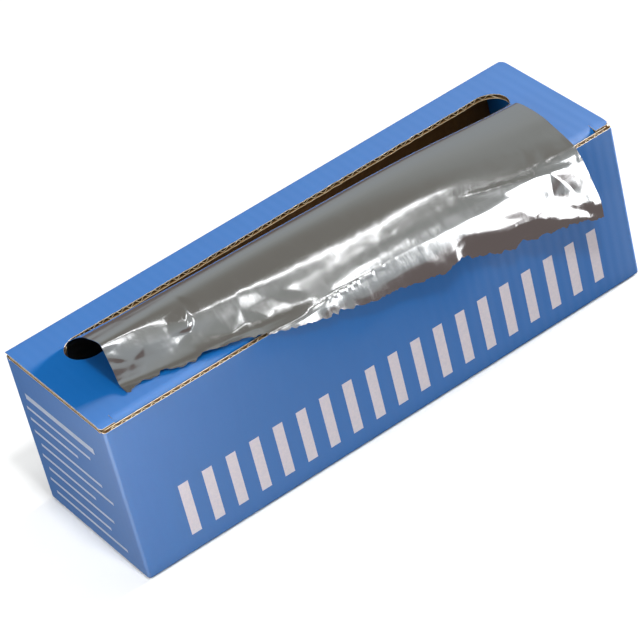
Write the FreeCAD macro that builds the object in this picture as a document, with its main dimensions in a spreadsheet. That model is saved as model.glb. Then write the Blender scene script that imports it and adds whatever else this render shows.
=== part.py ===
# Kitchen aluminium foil in a dispenser carton: a wound roll on its card tube, a corrugated
# carton with a slotted lid, and the free end of the foil drawn out through the slot.
#
# Frame: millimetres, +Z up, +X along the carton to the right, -Y towards the front panel.
# The origin is the centre of the carton's bottom face.
import FreeCAD, Part
import math
import os
import re

import Sketcher

Vector = FreeCAD.Vector
document = FreeCAD.newDocument("foil_dispenser")

# Two coordinates closer than this, in millimetres, are the same place
SAME_PLACE = 1e-4

# Driving sizes: name, value in millimetres or degrees, what it is
SIZES = [
    ("foil_width", 288.0, "width of the foil"),
    ("roll_diameter", 84.0, "outside of the wound foil"),
    ("core_diameter", 38.0, "outside of the card tube"),
    ("core_wall", 2.5, "wall of the card tube"),
    ("core_overhang", 6.0, "card tube past each edge of the foil"),
    ("winding_gap", 0.15, "radial gap between tube and winding"),
    ("board_thickness", 3.1, "corrugated board, liner to liner"),
    ("liner_thickness", 0.35, "each flat liner of the board"),
    ("flute_pitch", 6.2, "length of one wave of the fluting"),
    ("flute_wall", 0.3, "what the fluting takes from each channel"),
    ("core_end_gap", 3.5, "free length between tube and end wall"),
    ("end_width", 16.5, "hollow end, from outer face to inner face"),
    ("end_side_gap", 1.0, "gap between back panel and turned-in end"),
    ("tuck_room", 7.0, "gap between front panel and turned-in end, for the tuck flap"),
    ("dust_flap_reach", 40.0, "corner flap inside the hollow end"),
    ("dust_flap_drop", 8.0, "corner flap's top below the turned-over end"),
    ("roll_side_gap", 5.4, "free space in front of and behind the roll"),
    ("roll_rest_gap", 0.2, "gap under the roll"),
    ("head_room", 13.6, "free space over the roll"),
    ("fold_radius", 2.0, "outside of a folded edge"),
    ("front_drop", 2.1, "front panel's cut edge below the lid's face"),
    ("lid_gap", 0.1, "gap under the closed lid"),
    ("tuck_gap", 0.2, "gap between front panel and lid"),
    ("tuck_height", 22.0, "depth of the tuck flap"),
    ("tuck_lean", 7.5, "tuck flap's lean away from the front panel"),
    ("tuck_inset", 9.5, "lid's ear beside the tuck flap"),
    ("corner_radius", 6.0, "lid's rear right corner"),
    ("cut_corner_radius", 1.2, "lid's rear left corner"),
    ("slot_end_gap", 5.0, "slot's length past each edge of the foil"),
    ("slot_width", 23.5, "width of the slot"),
    ("slot_rear_margin", 20.2, "carton's rear face to the slot"),
    ("sheet_thickness", 0.4, "drawn foil, thickened so that it can be handled"),
    ("sheet_gap", 0.8, "gap between drawn foil and what it lies on"),
    ("lip_gap_left", 8.0, "drawn foil behind the slot's front lip, left edge"),
    ("lip_gap_right", 2.5, "drawn foil behind the slot's front lip, right edge"),
    ("arch_left", 23.5, "height of the drawn foil's arch over the lid, left edge"),
    ("arch_middle", 20.5, "height of the arch at mid width"),
    ("arch_right", 8.0, "height of the arch, right edge"),
    ("reach_left", 36.0, "slot's front lip to where the foil comes down, left edge"),
    ("flat_tail", 3.0, "flat end of the foil past where it comes down"),
    ("edge_lift", 0.2, "how far the foil stands off where it comes down"),
    ("lip_lift", 3.5, "extra lift of the torn lip where it comes to the lid's front edge"),
    ("hang_middle", 22.0, "drop of the torn edge below the lid, half way along the hanging part"),
    ("hang_right", 40.0, "drop of the torn edge below the lid, right edge"),
    ("stand_off", 9.0, "hanging foil in front of the front panel"),
]

sheet = document.addObject("Spreadsheet::Sheet", "Sizes")
for row, (alias, value, meaning) in enumerate(SIZES, start=1):
    sheet.set(f"A{row}", meaning)
    sheet.set(f"B{row}", str(value))
    sheet.setAlias(f"B{row}", alias)

# Sizes that follow from the driving ones: name, formula, what it is
DERIVED = [
    ("core_length", "foil_width + 2 * core_overhang", "length of the card tube"),
    ("carton_length", "core_length + 2 * core_end_gap + 2 * end_width", "carton, left to right"),
    ("carton_depth", "roll_diameter + 2 * roll_side_gap + 2 * board_thickness", "carton, front to back"),
    (
        "carton_height",
        "roll_diameter + roll_rest_gap + head_room + 2 * board_thickness",
        "carton, base to lid face",
    ),
    ("tray_height", "carton_height - board_thickness - lid_gap", "top of the back and end panels"),
    ("front_height", "carton_height - front_drop", "cut edge of the front panel"),
    ("inner_length", "carton_length - 2 * end_width", "between the inner end panels"),
    ("inner_depth", "carton_depth - 2 * board_thickness", "between front and back panels"),
    ("lid_front", "carton_depth / 2 - board_thickness - tuck_gap", "lid's front fold, forward of centre"),
    ("roll_axis", "board_thickness + roll_rest_gap + roll_diameter / 2", "height of the roll's axis"),
    ("slot_length", "foil_width + 2 * slot_end_gap", "length of the slot"),
    ("slot_centre", "carton_depth / 2 - slot_rear_margin - slot_width / 2", "slot's middle, back of centre"),
    ("tuck_length", "carton_length - 2 * tuck_inset", "length of the tuck flap"),
    ("straight_slot", "slot_length - slot_width", "slot between the centres of its round ends"),
    ("slot_cut_base", "carton_height - 2 * board_thickness", "slot cut, from a board below the lid"),
    ("slot_cut_height", "3 * board_thickness", "slot cut, to a board above the lid"),
]
for row, (alias, formula, meaning) in enumerate(DERIVED, start=len(SIZES) + 1):
    sheet.set(f"A{row}", meaning)
    sheet.set(f"B{row}", "=" + formula)
    sheet.setAlias(f"B{row}", alias)
document.recompute()


def size(alias):
    """A number from the sheet."""
    return float(sheet.get(alias))


def bind(item, **formulas):
    """Binds properties of an object to formulas; the words in them are the sheet's names."""
    for name, formula in formulas.items():
        item.setExpression(name, in_sheet(formula))


def in_sheet(formula):
    """The formula with each of the sheet's names written as a cell of the sheet."""
    return re.sub(r"[a-z]+_[a-z_]+", lambda name: f"Sizes.{name.group()}", formula)


def place(item, x="0", y="0", z="0"):
    """Puts an object's own origin at a point given by formulas."""
    for axis, formula in (("x", x), ("y", y), ("z", z)):
        item.setExpression(f"Placement.Base.{axis}", in_sheet(formula))


def panel(name, length, depth, height, x, y, z):
    """A flat panel of board, from its three sizes and its lowest corner."""
    item = document.addObject("Part::Box", name)
    bind(item, Length=length, Width=depth, Height=height)
    place(item, x, y, z)
    return item


def join(name, pieces):
    """One solid from panels of the same board."""
    item = document.addObject("Part::MultiFuse", name)
    item.Shapes = pieces
    item.Refine = True
    document.recompute()
    return item


def cut(name, base, tool):
    """What is left of the base when the tool's shape is taken out."""
    item = document.addObject("Part::Cut", name)
    item.Base = base
    item.Tool = tool
    document.recompute()
    return item


def edges_where(shape, test):
    """Numbers of the edges whose two ends and middle all pass a test."""
    chosen = []
    for number, edge in enumerate(shape.Edges, start=1):
        points = [vertex.Point for vertex in edge.Vertexes] + [edge.CenterOfMass]
        if all(test(point) for point in points):
            chosen.append(number)
    return chosen


def near(a, b):
    """Whether two coordinates are the same for this model's purposes."""
    return abs(a - b) < SAME_PLACE


def channel(centre, base_level, tip_level, half_base, start, end, place_point):
    """One triangular channel of the fluting, from start to end along the flutes."""
    corners = [(centre - half_base, base_level), (centre, tip_level), (centre + half_base, base_level)]
    points = [place_point(along, level, start) for along, level in corners]
    face = Part.Face(Part.makePolygon(points + points[:1]))
    return face.extrude(place_point(0, 0, end) - place_point(0, 0, start))


def flutes(span, start, end, place_point):
    """The channels of a fluted panel, alternately against one liner and the other.

    span is the width that they fill, about zero. place_point turns a distance along the board, a
    level in its thickness and a distance along the flutes into a point.
    """
    low = size("liner_thickness")
    high = size("board_thickness") - low
    wall = size("flute_wall")
    half_base = size("flute_pitch") / 2 - wall
    count = int(span / size("flute_pitch"))
    channels = []
    for number in range(2 * count - 1):
        centre = (number + 1 - count) * size("flute_pitch") / 2
        if number % 2:
            levels = (high, low + wall)
        else:
            levels = (low, high - wall)
        channels.append(channel(centre, levels[0], levels[1], half_base, start, end, place_point))
    return Part.makeCompound(channels)


def sketch_on(body, name, plane):
    """An empty sketch on one of a body's own planes, such as XY."""
    sketch = body.newObject("Sketcher::SketchObject", name)
    role = f"{plane}_Plane"
    datum = [feature for feature in body.Origin.OriginFeatures if feature.Role == role][0]
    sketch.AttachmentSupport = [(datum, "")]
    sketch.MapMode = "FlatFace"
    return sketch


def outline(body, name, plane, corners):
    """A closed sketch through corners given as pairs of formulas."""
    sketch = sketch_on(body, name, plane)
    points = [[sketch.evalExpression(in_sheet(formula)) for formula in corner] for corner in corners]
    for number, (x, y) in enumerate(points):
        next_x, next_y = points[(number + 1) % len(points)]
        sketch.addGeometry(Part.LineSegment(Vector(x, y, 0), Vector(next_x, next_y, 0)), False)
    for number, corner in enumerate(corners):
        following = (number + 1) % len(corners)
        sketch.addConstraint(Sketcher.Constraint("Coincident", number, 2, following, 1))
        for kind, formula, value in zip(("DistanceX", "DistanceY"), corner, points[number]):
            index = sketch.addConstraint(Sketcher.Constraint(kind, -1, 1, number, 1, value))
            sketch.setExpression(f"Constraints[{index}]", in_sheet(formula))
    return sketch


def ring(name, outer, inner, length):
    """A tube along X about its own origin, from its two diameters and its length."""
    body = document.addObject("PartDesign::Body", name)
    body.Label = name
    sketch = sketch_on(body, f"{name}_section", "YZ")
    for number, diameter in enumerate((outer, inner)):
        across_circle = sketch.evalExpression(in_sheet(diameter))
        sketch.addGeometry(Part.Circle(Vector(0, 0, 0), Vector(0, 0, 1), across_circle / 2), False)
        sketch.addConstraint(Sketcher.Constraint("Coincident", number, 3, -1, 1))
        index = sketch.addConstraint(Sketcher.Constraint("Diameter", number, across_circle))
        sketch.setExpression(f"Constraints[{index}]", in_sheet(diameter))
    pad = body.newObject("PartDesign::Pad", f"{name}_length")
    pad.Profile = sketch
    pad.Midplane = True
    bind(pad, Length=length)
    place(body, z="roll_axis")
    return body


# The tray: base, back and front panels, and two hollow ends whose panels turn over at the top and
# go down inside, over the corner flaps of the front and back panels.
def make_tray():
    """The carton's lower part, one folded board, with open flutes along the front's cut edge."""
    half_length = "carton_length / 2"
    half_depth = "carton_depth / 2"
    board = "board_thickness"
    end_depth = "inner_depth - tuck_room - end_side_gap"
    panels = [
        panel(
            "base_panel", "carton_length", "carton_depth", board,
            f"0 - {half_length}", f"0 - {half_depth}", "0",
        ),
        panel(
            "back_panel", "carton_length", board, "tray_height",
            f"0 - {half_length}", f"{half_depth} - {board}", "0",
        ),
        panel(
            "front_panel", "carton_length", board, "front_height",
            f"0 - {half_length}", f"0 - {half_depth}", "0",
        ),
    ]
    for side, outer_x, top_x, inner_x, flap_x in (
        (
            "left",
            f"0 - {half_length}",
            f"0 - {half_length}",
            f"0 - inner_length / 2 - {board}",
            f"0 - {half_length} + {board}",
        ),
        (
            "right",
            f"{half_length} - {board}",
            "inner_length / 2",
            "inner_length / 2",
            f"{half_length} - 2 * {board}",
        ),
    ):
        panels.append(
            panel(
                f"{side}_outer_end", board, "carton_depth", "tray_height",
                outer_x, f"0 - {half_depth}", "0",
            )
        )
        panels.append(
            panel(
                f"{side}_turned_over_top", "end_width", end_depth, board,
                top_x, "tuck_room - inner_depth / 2", f"tray_height - {board}",
            )
        )
        panels.append(
            panel(
                f"{side}_inner_end", board, end_depth, "tray_height",
                inner_x, "tuck_room - inner_depth / 2", "0",
            )
        )
        for which, flap_y in (
            ("front", "0 - inner_depth / 2"),
            ("back", "inner_depth / 2 - dust_flap_reach"),
        ):
            panels.append(
                panel(
                    f"{side}_{which}_dust_flap", board, "dust_flap_reach",
                    "tray_height - dust_flap_drop", flap_x, flap_y, "0",
                )
            )
    folded = join("folded_tray", panels)
    rounded = document.addObject("Part::Fillet", "tray_with_round_folds")
    rounded.Base = folded
    x_face = size("carton_length") / 2
    y_face = size("carton_depth") / 2

    def is_outer_fold(point):
        return near(abs(point.x), x_face) and near(abs(point.y), y_face)

    def is_bottom_fold(point):
        return near(point.z, 0)

    numbers = set(edges_where(folded.Shape, is_outer_fold)) | set(edges_where(folded.Shape, is_bottom_fold))
    radius = size("fold_radius")
    rounded.Edges = [(number, radius, radius) for number in sorted(numbers)]
    document.recompute()

    def on_front(along, level, height):
        return Vector(along, level - size("carton_depth") / 2, height)

    channels = document.addObject("Part::Feature", "front_flutes")
    channels.Shape = flutes(
        size("carton_length") - 2 * size("fold_radius") - 2 * size("board_thickness"),
        size("board_thickness") + size("fold_radius"),
        size("front_height") + size("board_thickness"),
        on_front,
    )
    tray = cut("carton_tray", rounded, channels)
    tray.Label = "carton_tray"
    return tray


# The lid: one panel hinged along the back, with a long slot and a tuck flap that goes down inside
# the front panel. Its ears rest on the turned-over ends.
def make_lid():
    """The carton's lid, with the fluting open where the slot cuts across it."""
    body = document.addObject("PartDesign::Body", "lid_board")
    half_length = "carton_length / 2"
    half_depth = "carton_depth / 2"
    face = outline(
        body, "lid_outline", "XY",
        [
            (f"0 - {half_length}", "0 - lid_front"),
            (half_length, "0 - lid_front"),
            (half_length, half_depth),
            (f"0 - {half_length}", half_depth),
        ],
    )
    plate = body.newObject("PartDesign::Pad", "lid_panel")
    plate.Profile = face
    bind(plate, Length="board_thickness")
    document.recompute()

    lean = "tuck_height * tan(tuck_lean * 1 deg)"
    flap_outline = outline(
        body, "tuck_outline", "YZ",
        [
            ("0 - lid_front", "0"),
            (f"0 - lid_front + {lean}", "0 - tuck_height + board_thickness"),
            (f"0 - lid_front + {lean} + board_thickness", "0 - tuck_height + board_thickness"),
            ("0 - lid_front + board_thickness", "0"),
            ("0 - lid_front + board_thickness", "board_thickness / 2"),
            ("0 - lid_front", "board_thickness / 2"),
        ],
    )
    flap = body.newObject("PartDesign::Pad", "tuck_flap")
    flap.Profile = flap_outline
    flap.Midplane = True
    bind(flap, Length="tuck_length")
    document.recompute()

    top = size("board_thickness")
    rear = size("carton_depth") / 2
    front = -size("lid_front")
    side = size("carton_length") / 2

    def is_front_fold(point):
        return near(point.y, front) and near(point.z, top)

    def is_right_corner(point):
        return near(point.y, rear) and near(point.x, side)

    def is_left_corner(point):
        return near(point.y, rear) and near(point.x, -side)

    last = flap
    for name, test, alias in (
        ("front_fold", is_front_fold, "fold_radius"),
        ("right_corner", is_right_corner, "corner_radius"),
        ("left_corner", is_left_corner, "cut_corner_radius"),
    ):
        numbers = edges_where(last.Shape, test)
        rounding = body.newObject("PartDesign::Fillet", name)
        rounding.Base = (last, [f"Edge{number}" for number in numbers])
        bind(rounding, Radius=alias)
        document.recompute()
        last = rounding
    place(body, z="carton_height - board_thickness")
    document.recompute()

    slot_middle = document.addObject("Part::Box", "slot_middle")
    bind(slot_middle, Length="straight_slot", Width="slot_width", Height="slot_cut_height")
    place(slot_middle, "0 - straight_slot / 2", "slot_centre - slot_width / 2", "slot_cut_base")
    slot_parts = [slot_middle]
    for end, x in (("left", "0 - straight_slot / 2"), ("right", "straight_slot / 2")):
        round_end = document.addObject("Part::Cylinder", f"slot_{end}_end")
        bind(round_end, Radius="slot_width / 2", Height="slot_cut_height")
        place(round_end, x, "slot_centre", "slot_cut_base")
        slot_parts.append(round_end)
    slot = join("slot", slot_parts)
    slotted = cut("slotted_lid", body, slot)

    def on_lid(along, level, distance):
        return Vector(along, distance, size("carton_height") - size("board_thickness") + level)

    channels = document.addObject("Part::Feature", "lid_flutes")
    channels.Shape = flutes(
        size("slot_length") - size("slot_width") / 2,
        2 * size("board_thickness") - size("lid_front"),
        size("carton_depth") / 2 - size("board_thickness"),
        on_lid,
    )
    lid = cut("carton_lid", slotted, channels)
    lid.Label = "carton_lid"
    return lid


def tangent_point(from_y, from_z):
    """Where foil drawn from a point touches the back of the winding, just off its surface."""
    radius = size("roll_diameter") / 2 + size("sheet_gap")
    rise = from_z - size("roll_axis")
    distance = math.hypot(from_y, rise)
    angle = math.atan2(rise, from_y) - math.acos(radius / distance)
    return radius * math.cos(angle), size("roll_axis") + radius * math.sin(angle)


def mix(a, b, share):
    """A value on the way from a to b."""
    return a + (b - a) * share


# The arch of the drawn foil from the slot to where it comes down: how far along, and how high as a
# share of the arch at the left edge, at mid width and at the right edge
ARCH_SHAPE = [
    (0.16, 0.55, 0.66, 0.80),
    (0.40, 0.93, 1.00, 1.00),
    (0.66, 1.00, 0.86, 0.92),
    (0.86, 0.62, 0.38, 0.50),
]
# Where the torn edge comes to the lid's front edge, as a share of the foil's width, and how far to
# each side of that place its lip stands up
FRONT_REACHED_AT = 0.29
LIP_SPREAD = 0.25
# How much of the hanging part's drop is done half way out to the torn edge
HANG_BEND = 0.4
# Sections across the foil's width, and points along each
SECTIONS = 13
CREASES = 26


def across(left, middle, right, share):
    """A value that changes evenly from the left edge to mid width and from there to the right."""
    if share < 0.5:
        return mix(left, middle, 2 * share)
    return mix(middle, right, 2 * share - 1)


def drape(share):
    """Points of the drawn foil's under side at one place along its width, from roll to torn edge.

    share is 0 at the left edge, where the foil stands up in a short arch and ends on the lid, and 1
    at the right edge, where it lies low over the lid and hangs down the front panel.
    """
    lid_face = size("carton_height")
    lid_under = lid_face - size("board_thickness")
    top = lid_face + size("sheet_gap")
    lip = size("slot_centre") - size("slot_width") / 2
    edge = -size("carton_depth") / 2 - size("sheet_gap")
    start = lip + mix(size("lip_gap_left"), size("lip_gap_right"), share)
    onto_front = min(1, share / FRONT_REACHED_AT)
    landing = mix(lip - size("reach_left"), edge, onto_front)
    from_y, from_z = tangent_point(start, lid_under)
    points = [
        Vector(0, from_y, from_z),
        Vector(0, (from_y + start) / 2, (from_z + lid_under) / 2),
        Vector(0, start, lid_face),
    ]
    arch = across(size("arch_left"), size("arch_middle"), size("arch_right"), share)
    for along, left, middle, right in ARCH_SHAPE:
        height = arch * across(left, middle, right, share)
        points.append(Vector(0, mix(start, landing, along), lid_face + height))
    lip_share = max(0, 1 - abs(share - FRONT_REACHED_AT) / LIP_SPREAD)
    lift = size("edge_lift") + size("lip_lift") * lip_share
    points.append(Vector(0, landing, top + lift))
    hang = 0
    if share > FRONT_REACHED_AT:
        hanging = (share - FRONT_REACHED_AT) / (1 - FRONT_REACHED_AT)
        hang = across(0, size("hang_middle"), size("hang_right"), hanging)
    stand_off = size("stand_off") * min(1, hang / size("hang_middle"))
    end_y = landing - stand_off - size("flat_tail")
    end_z = top + lift - hang
    points.append(Vector(0, (landing + end_y) / 2, mix(top + lift, end_z, HANG_BEND)))
    points.append(Vector(0, end_y, end_z))
    return points


def section(share):
    """The closed outline of the drawn foil at one place along its width."""
    curve = Part.BSplineCurve()
    curve.interpolate(drape(share))
    under = curve.discretize(CREASES)
    over = []
    for point in under:
        along = curve.tangent(curve.parameter(point))[0]
        over.append(point + Vector(0, along.z, -along.y) * size("sheet_thickness"))
    wire = Part.makePolygon(under + over[::-1] + under[:1])
    wire.translate(Vector(size("foil_width") * (share - 0.5), 0, 0))
    return wire


def make_drawn_foil():
    """The free end of the foil: one thin sheet of flat facets between its sections."""
    sections = [section(number / (SECTIONS - 1)) for number in range(SECTIONS)]
    item = document.addObject("Part::Feature", "foil_sheet")
    item.Label = "foil_sheet"
    item.Shape = Part.makeLoft(sections, True, True)
    item.Placement = FreeCAD.Placement()
    return item


def check_and_write(sub_parts):
    """Stops at a failed object, then writes one file for each sub-part."""
    document.recompute()
    for item in document.Objects:
        if "Invalid" in item.State or "Error" in item.State:
            raise RuntimeError(f"{item.Name} failed: {item.State}")
    for item in sub_parts:
        shape = item.Shape
        if shape.isNull() or not shape.isValid() or len(shape.Solids) != 1:
            raise RuntimeError(f"{item.Label} is not one valid solid")
    os.makedirs("parts", exist_ok=True)
    for item in sub_parts:
        item.Shape.exportStep(f"parts/{item.Label}.step")
        box = item.Shape.BoundBox
        print(
            f"{item.Label}: {item.Shape.Volume / 1000:.1f} cm3,"
            f" x {box.XMin:.1f} to {box.XMax:.1f},"
            f" y {box.YMin:.1f} to {box.YMax:.1f},"
            f" z {box.ZMin:.1f} to {box.ZMax:.1f}"
        )


tray = make_tray()
lid = make_lid()
roll = ring("foil_roll", "roll_diameter", "core_diameter + 2 * winding_gap", "foil_width")
core = ring("core_tube", "core_diameter", "core_diameter - 2 * core_wall", "core_length")
drawn_foil = make_drawn_foil()
check_and_write([tray, lid, roll, core, drawn_foil])
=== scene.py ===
"""A kitchen foil roll in its corrugated carton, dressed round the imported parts.

Sizes are in millimetres, as on a carton's drawing. Meshes are made in metres.
X runs along the carton, Y from front to back and Z up.
"""

import logging
import math
from dataclasses import dataclass, field
from enum import Enum, IntEnum

import bmesh
import bpy
import numpy as np
from mathutils import Matrix, Quaternion, Vector
from mathutils.bvhtree import BVHTree
from mathutils.geometry import delaunay_2d_cdt

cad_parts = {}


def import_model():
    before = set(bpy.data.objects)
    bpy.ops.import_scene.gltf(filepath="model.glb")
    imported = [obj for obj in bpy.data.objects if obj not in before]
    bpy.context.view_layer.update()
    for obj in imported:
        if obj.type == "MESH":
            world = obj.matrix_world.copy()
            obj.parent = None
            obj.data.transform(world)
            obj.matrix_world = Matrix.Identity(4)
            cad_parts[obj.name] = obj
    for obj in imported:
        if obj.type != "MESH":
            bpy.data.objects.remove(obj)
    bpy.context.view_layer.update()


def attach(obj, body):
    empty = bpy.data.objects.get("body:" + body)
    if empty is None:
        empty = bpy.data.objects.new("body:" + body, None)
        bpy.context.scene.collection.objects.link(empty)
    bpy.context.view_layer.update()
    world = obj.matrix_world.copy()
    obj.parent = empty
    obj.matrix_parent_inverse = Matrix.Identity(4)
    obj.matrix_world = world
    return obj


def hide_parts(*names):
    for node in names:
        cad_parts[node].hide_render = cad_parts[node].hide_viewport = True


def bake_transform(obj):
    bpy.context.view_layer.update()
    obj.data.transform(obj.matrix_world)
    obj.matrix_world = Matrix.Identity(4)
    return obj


MM = 0.001
LOG = logging.getLogger("foil_carton")
Array = np.ndarray
Finishes = dict[str, bpy.types.Material]

# Sizes that several pieces share.
LENGTH = 340.0
DEPTH = 101.0
HEIGHT = 104.0
FOIL_WIDTH = 288.0

# The degrees at which a quarter turn of board gets its points.
ARC = range(0, 91, 15)

# Single-wall board with B flutes. The fluting paper is drawn about twice its real thickness.
BOARD = 3.1
LINER = 0.5
FLUTE_PITCH = 6.2
FLUTE_STEP = FLUTE_PITCH / 10
FLUTE_WALL = 0.4
FLUTE_PLAY = 0.1


class Face(IntEnum):
    """What a face of the board shows."""

    PRINT = 0
    KRAFT = 1
    CUT = 2
    SILVER = 3
    WHITE = 4


class Gives(Enum):
    """What a lamp is for: lighting the set, showing in the foil, or both."""

    LIGHT = "light"
    MIRRORED = "mirrored"
    BOTH = "both"


# Colours and nodes


def colour(code: str) -> tuple[float, float, float, float]:
    """Turn an sRGB hex code into a linear colour.

    Args:
        code: Six hex digits after a hash sign.

    Returns:
        Red, green, blue and alpha.
    """
    parts = [int(code[i : i + 2], 16) / 255 for i in (1, 3, 5)]
    linear = [c / 12.92 if c <= 0.04045 else ((c + 0.055) / 1.055) ** 2.4 for c in parts]
    return (*linear, 1.0)


def add_node(
    tree: bpy.types.NodeTree, kind: str, inputs: dict | None = None, **settings: object
) -> bpy.types.Node:
    """Add a node, with its settings and its inputs set or linked.

    Args:
        tree: The tree that gets the node.
        kind: The node's type name.
        inputs: What goes into each input, by name or number: a value, an output socket, or
            a node, which gives its first output.
        settings: Properties of the node itself.

    Returns:
        The new node.
    """
    node = tree.nodes.new(kind)
    for name, value in settings.items():
        setattr(node, name, value)
    for key, value in (inputs or {}).items():
        if isinstance(value, bpy.types.Node):
            value = value.outputs[0]
        if isinstance(value, bpy.types.NodeSocket):
            tree.links.new(value, node.inputs[key])
        else:
            node.inputs[key].default_value = value
    return node


def new_material(name: str) -> tuple[bpy.types.Material, bpy.types.NodeTree]:
    """Make an empty node material.

    Args:
        name: The finish's real name.

    Returns:
        The material and its emptied tree.
    """
    material = bpy.data.materials.new(name)
    material.use_nodes = True
    material.node_tree.nodes.clear()
    return material, material.node_tree


def finish_surface(
    tree: bpy.types.NodeTree,
    inputs: dict,
    relief: bpy.types.Node,
    depth: float,
    strength: float = 1.0,
) -> None:
    """Add the relief, the shader and the output.

    Args:
        tree: The material's tree.
        inputs: The shader's inputs, apart from its normal.
        relief: What gives the height.
        depth: The height's size in millimetres.
        strength: How much of it shows.
    """
    bump = add_node(
        tree, "ShaderNodeBump", {"Height": relief, "Strength": strength, "Distance": depth * MM}
    )
    shader = add_node(tree, "ShaderNodeBsdfPrincipled", inputs | {"Normal": bump})
    add_node(tree, "ShaderNodeOutputMaterial", {"Surface": shader})


# Finishes: sizes of their patterns are in millimetres


@dataclass(frozen=True)
class Liner:
    """Face paper of single-wall board, printed or plain, with its flutes showing through.

    The fibres are drawn coarser than real ones.
    """

    name: str
    tone: str
    light_tone: str
    roughness: float
    specular: float
    wave_depth: float = 0.10
    pitch: float = FLUTE_PITCH
    fibre: float = 1.3
    streak: float = 7.0
    cloud: float = 38.0
    mottle: float = 0.35

    def material(self) -> bpy.types.Material:
        """Build the paper: flute lines in the relief and a cloudy, slightly fibrous tone.

        Returns:
            The material.
        """
        material, tree = new_material(self.name)
        place = add_node(tree, "ShaderNodeTexCoord").outputs["Object"]
        axes = add_node(tree, "ShaderNodeSeparateXYZ", {0: place}).outputs
        # The flutes stand across x, and on the two ends across y.
        facing = add_node(tree, "ShaderNodeNewGeometry").outputs["Normal"]
        sideways = add_node(tree, "ShaderNodeSeparateXYZ", {0: facing})
        end_on = add_node(tree, "ShaderNodeMath", {0: sideways}, operation="ABSOLUTE")
        is_end = add_node(tree, "ShaderNodeMath", {0: end_on, 1: 0.7}, operation="GREATER_THAN")
        along = add_node(
            tree, "ShaderNodeMix", {"Factor": is_end, "A": axes[0], "B": axes[1]}, data_type="FLOAT"
        )
        rate = 2 * math.pi / (self.pitch * MM)
        angle = add_node(tree, "ShaderNodeMath", {0: along, 1: rate}, operation="MULTIPLY")
        wave = add_node(tree, "ShaderNodeMath", {0: angle}, operation="SINE")
        drawn = add_node(tree, "ShaderNodeMapping", {"Vector": place, "Scale": (1.0, 0.22, 0.3)})
        streaks = add_node(
            tree,
            "ShaderNodeTexNoise",
            {"Vector": drawn, "Scale": 1 / (self.streak * MM), "Detail": 4.0, "Roughness": 0.6},
        )
        clouds = add_node(
            tree,
            "ShaderNodeTexNoise",
            {"Vector": place, "Scale": 1 / (self.cloud * MM), "Detail": 3.0},
        )
        fibres = add_node(
            tree,
            "ShaderNodeTexNoise",
            {"Vector": place, "Scale": 1 / (self.fibre * MM), "Detail": 2.0, "Roughness": 0.7},
        )
        tones = streaks
        for pattern, weight in ((wave, 0.02), (clouds, 0.6), (fibres, 0.35)):
            tones = add_node(
                tree, "ShaderNodeMath", {0: pattern, 1: weight, 2: tones}, operation="MULTIPLY_ADD"
            )
        share = add_node(
            tree,
            "ShaderNodeMapRange",
            {"Value": tones, "From Min": 0.65, "From Max": 1.3, "To Max": self.mottle},
        )
        tone = add_node(
            tree,
            "ShaderNodeMix",
            {0: share, 6: colour(self.tone), 7: colour(self.light_tone)},
            data_type="RGBA",
        )
        relief = add_node(
            tree, "ShaderNodeMath", {0: fibres, 1: 0.25, 2: wave}, operation="MULTIPLY_ADD"
        )
        surface = {
            "Base Color": tone.outputs[2],
            "Roughness": self.roughness,
            "Specular IOR Level": self.specular,
        }
        finish_surface(tree, surface, relief, self.wave_depth)
        return material


@dataclass(frozen=True)
class Speckled:
    """Ink, cut edges, card or paint: one tone with specks of another in a fine relief.

    The grain is the specks' size, which is drawn coarser than real fibres.
    """

    name: str
    tone: str
    speck_tone: str
    grain: float
    roughness: float
    metallic: float = 0.0
    harshness: float = 0.6
    shown: tuple[float, float] = (0.0, 1.0)
    most: float = 1.0
    strength: float = 0.3
    depth: float = 0.1

    def material(self) -> bpy.types.Material:
        """Build the surface: one grain gives both its specks and its relief.

        Returns:
            The material.
        """
        material, tree = new_material(self.name)
        place = add_node(tree, "ShaderNodeTexCoord").outputs["Object"]
        noise = {"Vector": place, "Scale": 1 / (self.grain * MM), "Detail": 3.0}
        grain = add_node(tree, "ShaderNodeTexNoise", noise | {"Roughness": self.harshness})
        low, high = self.shown
        share = add_node(
            tree,
            "ShaderNodeMapRange",
            {"Value": grain, "From Min": low, "From Max": high, "To Max": self.most},
        )
        tone = add_node(
            tree,
            "ShaderNodeMix",
            {0: share, 6: colour(self.tone), 7: colour(self.speck_tone)},
            data_type="RGBA",
        )
        surface = {
            "Base Color": tone.outputs[2],
            "Roughness": self.roughness,
            "Metallic": self.metallic,
        }
        finish_surface(tree, surface, grain, self.depth, self.strength)
        return material


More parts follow.
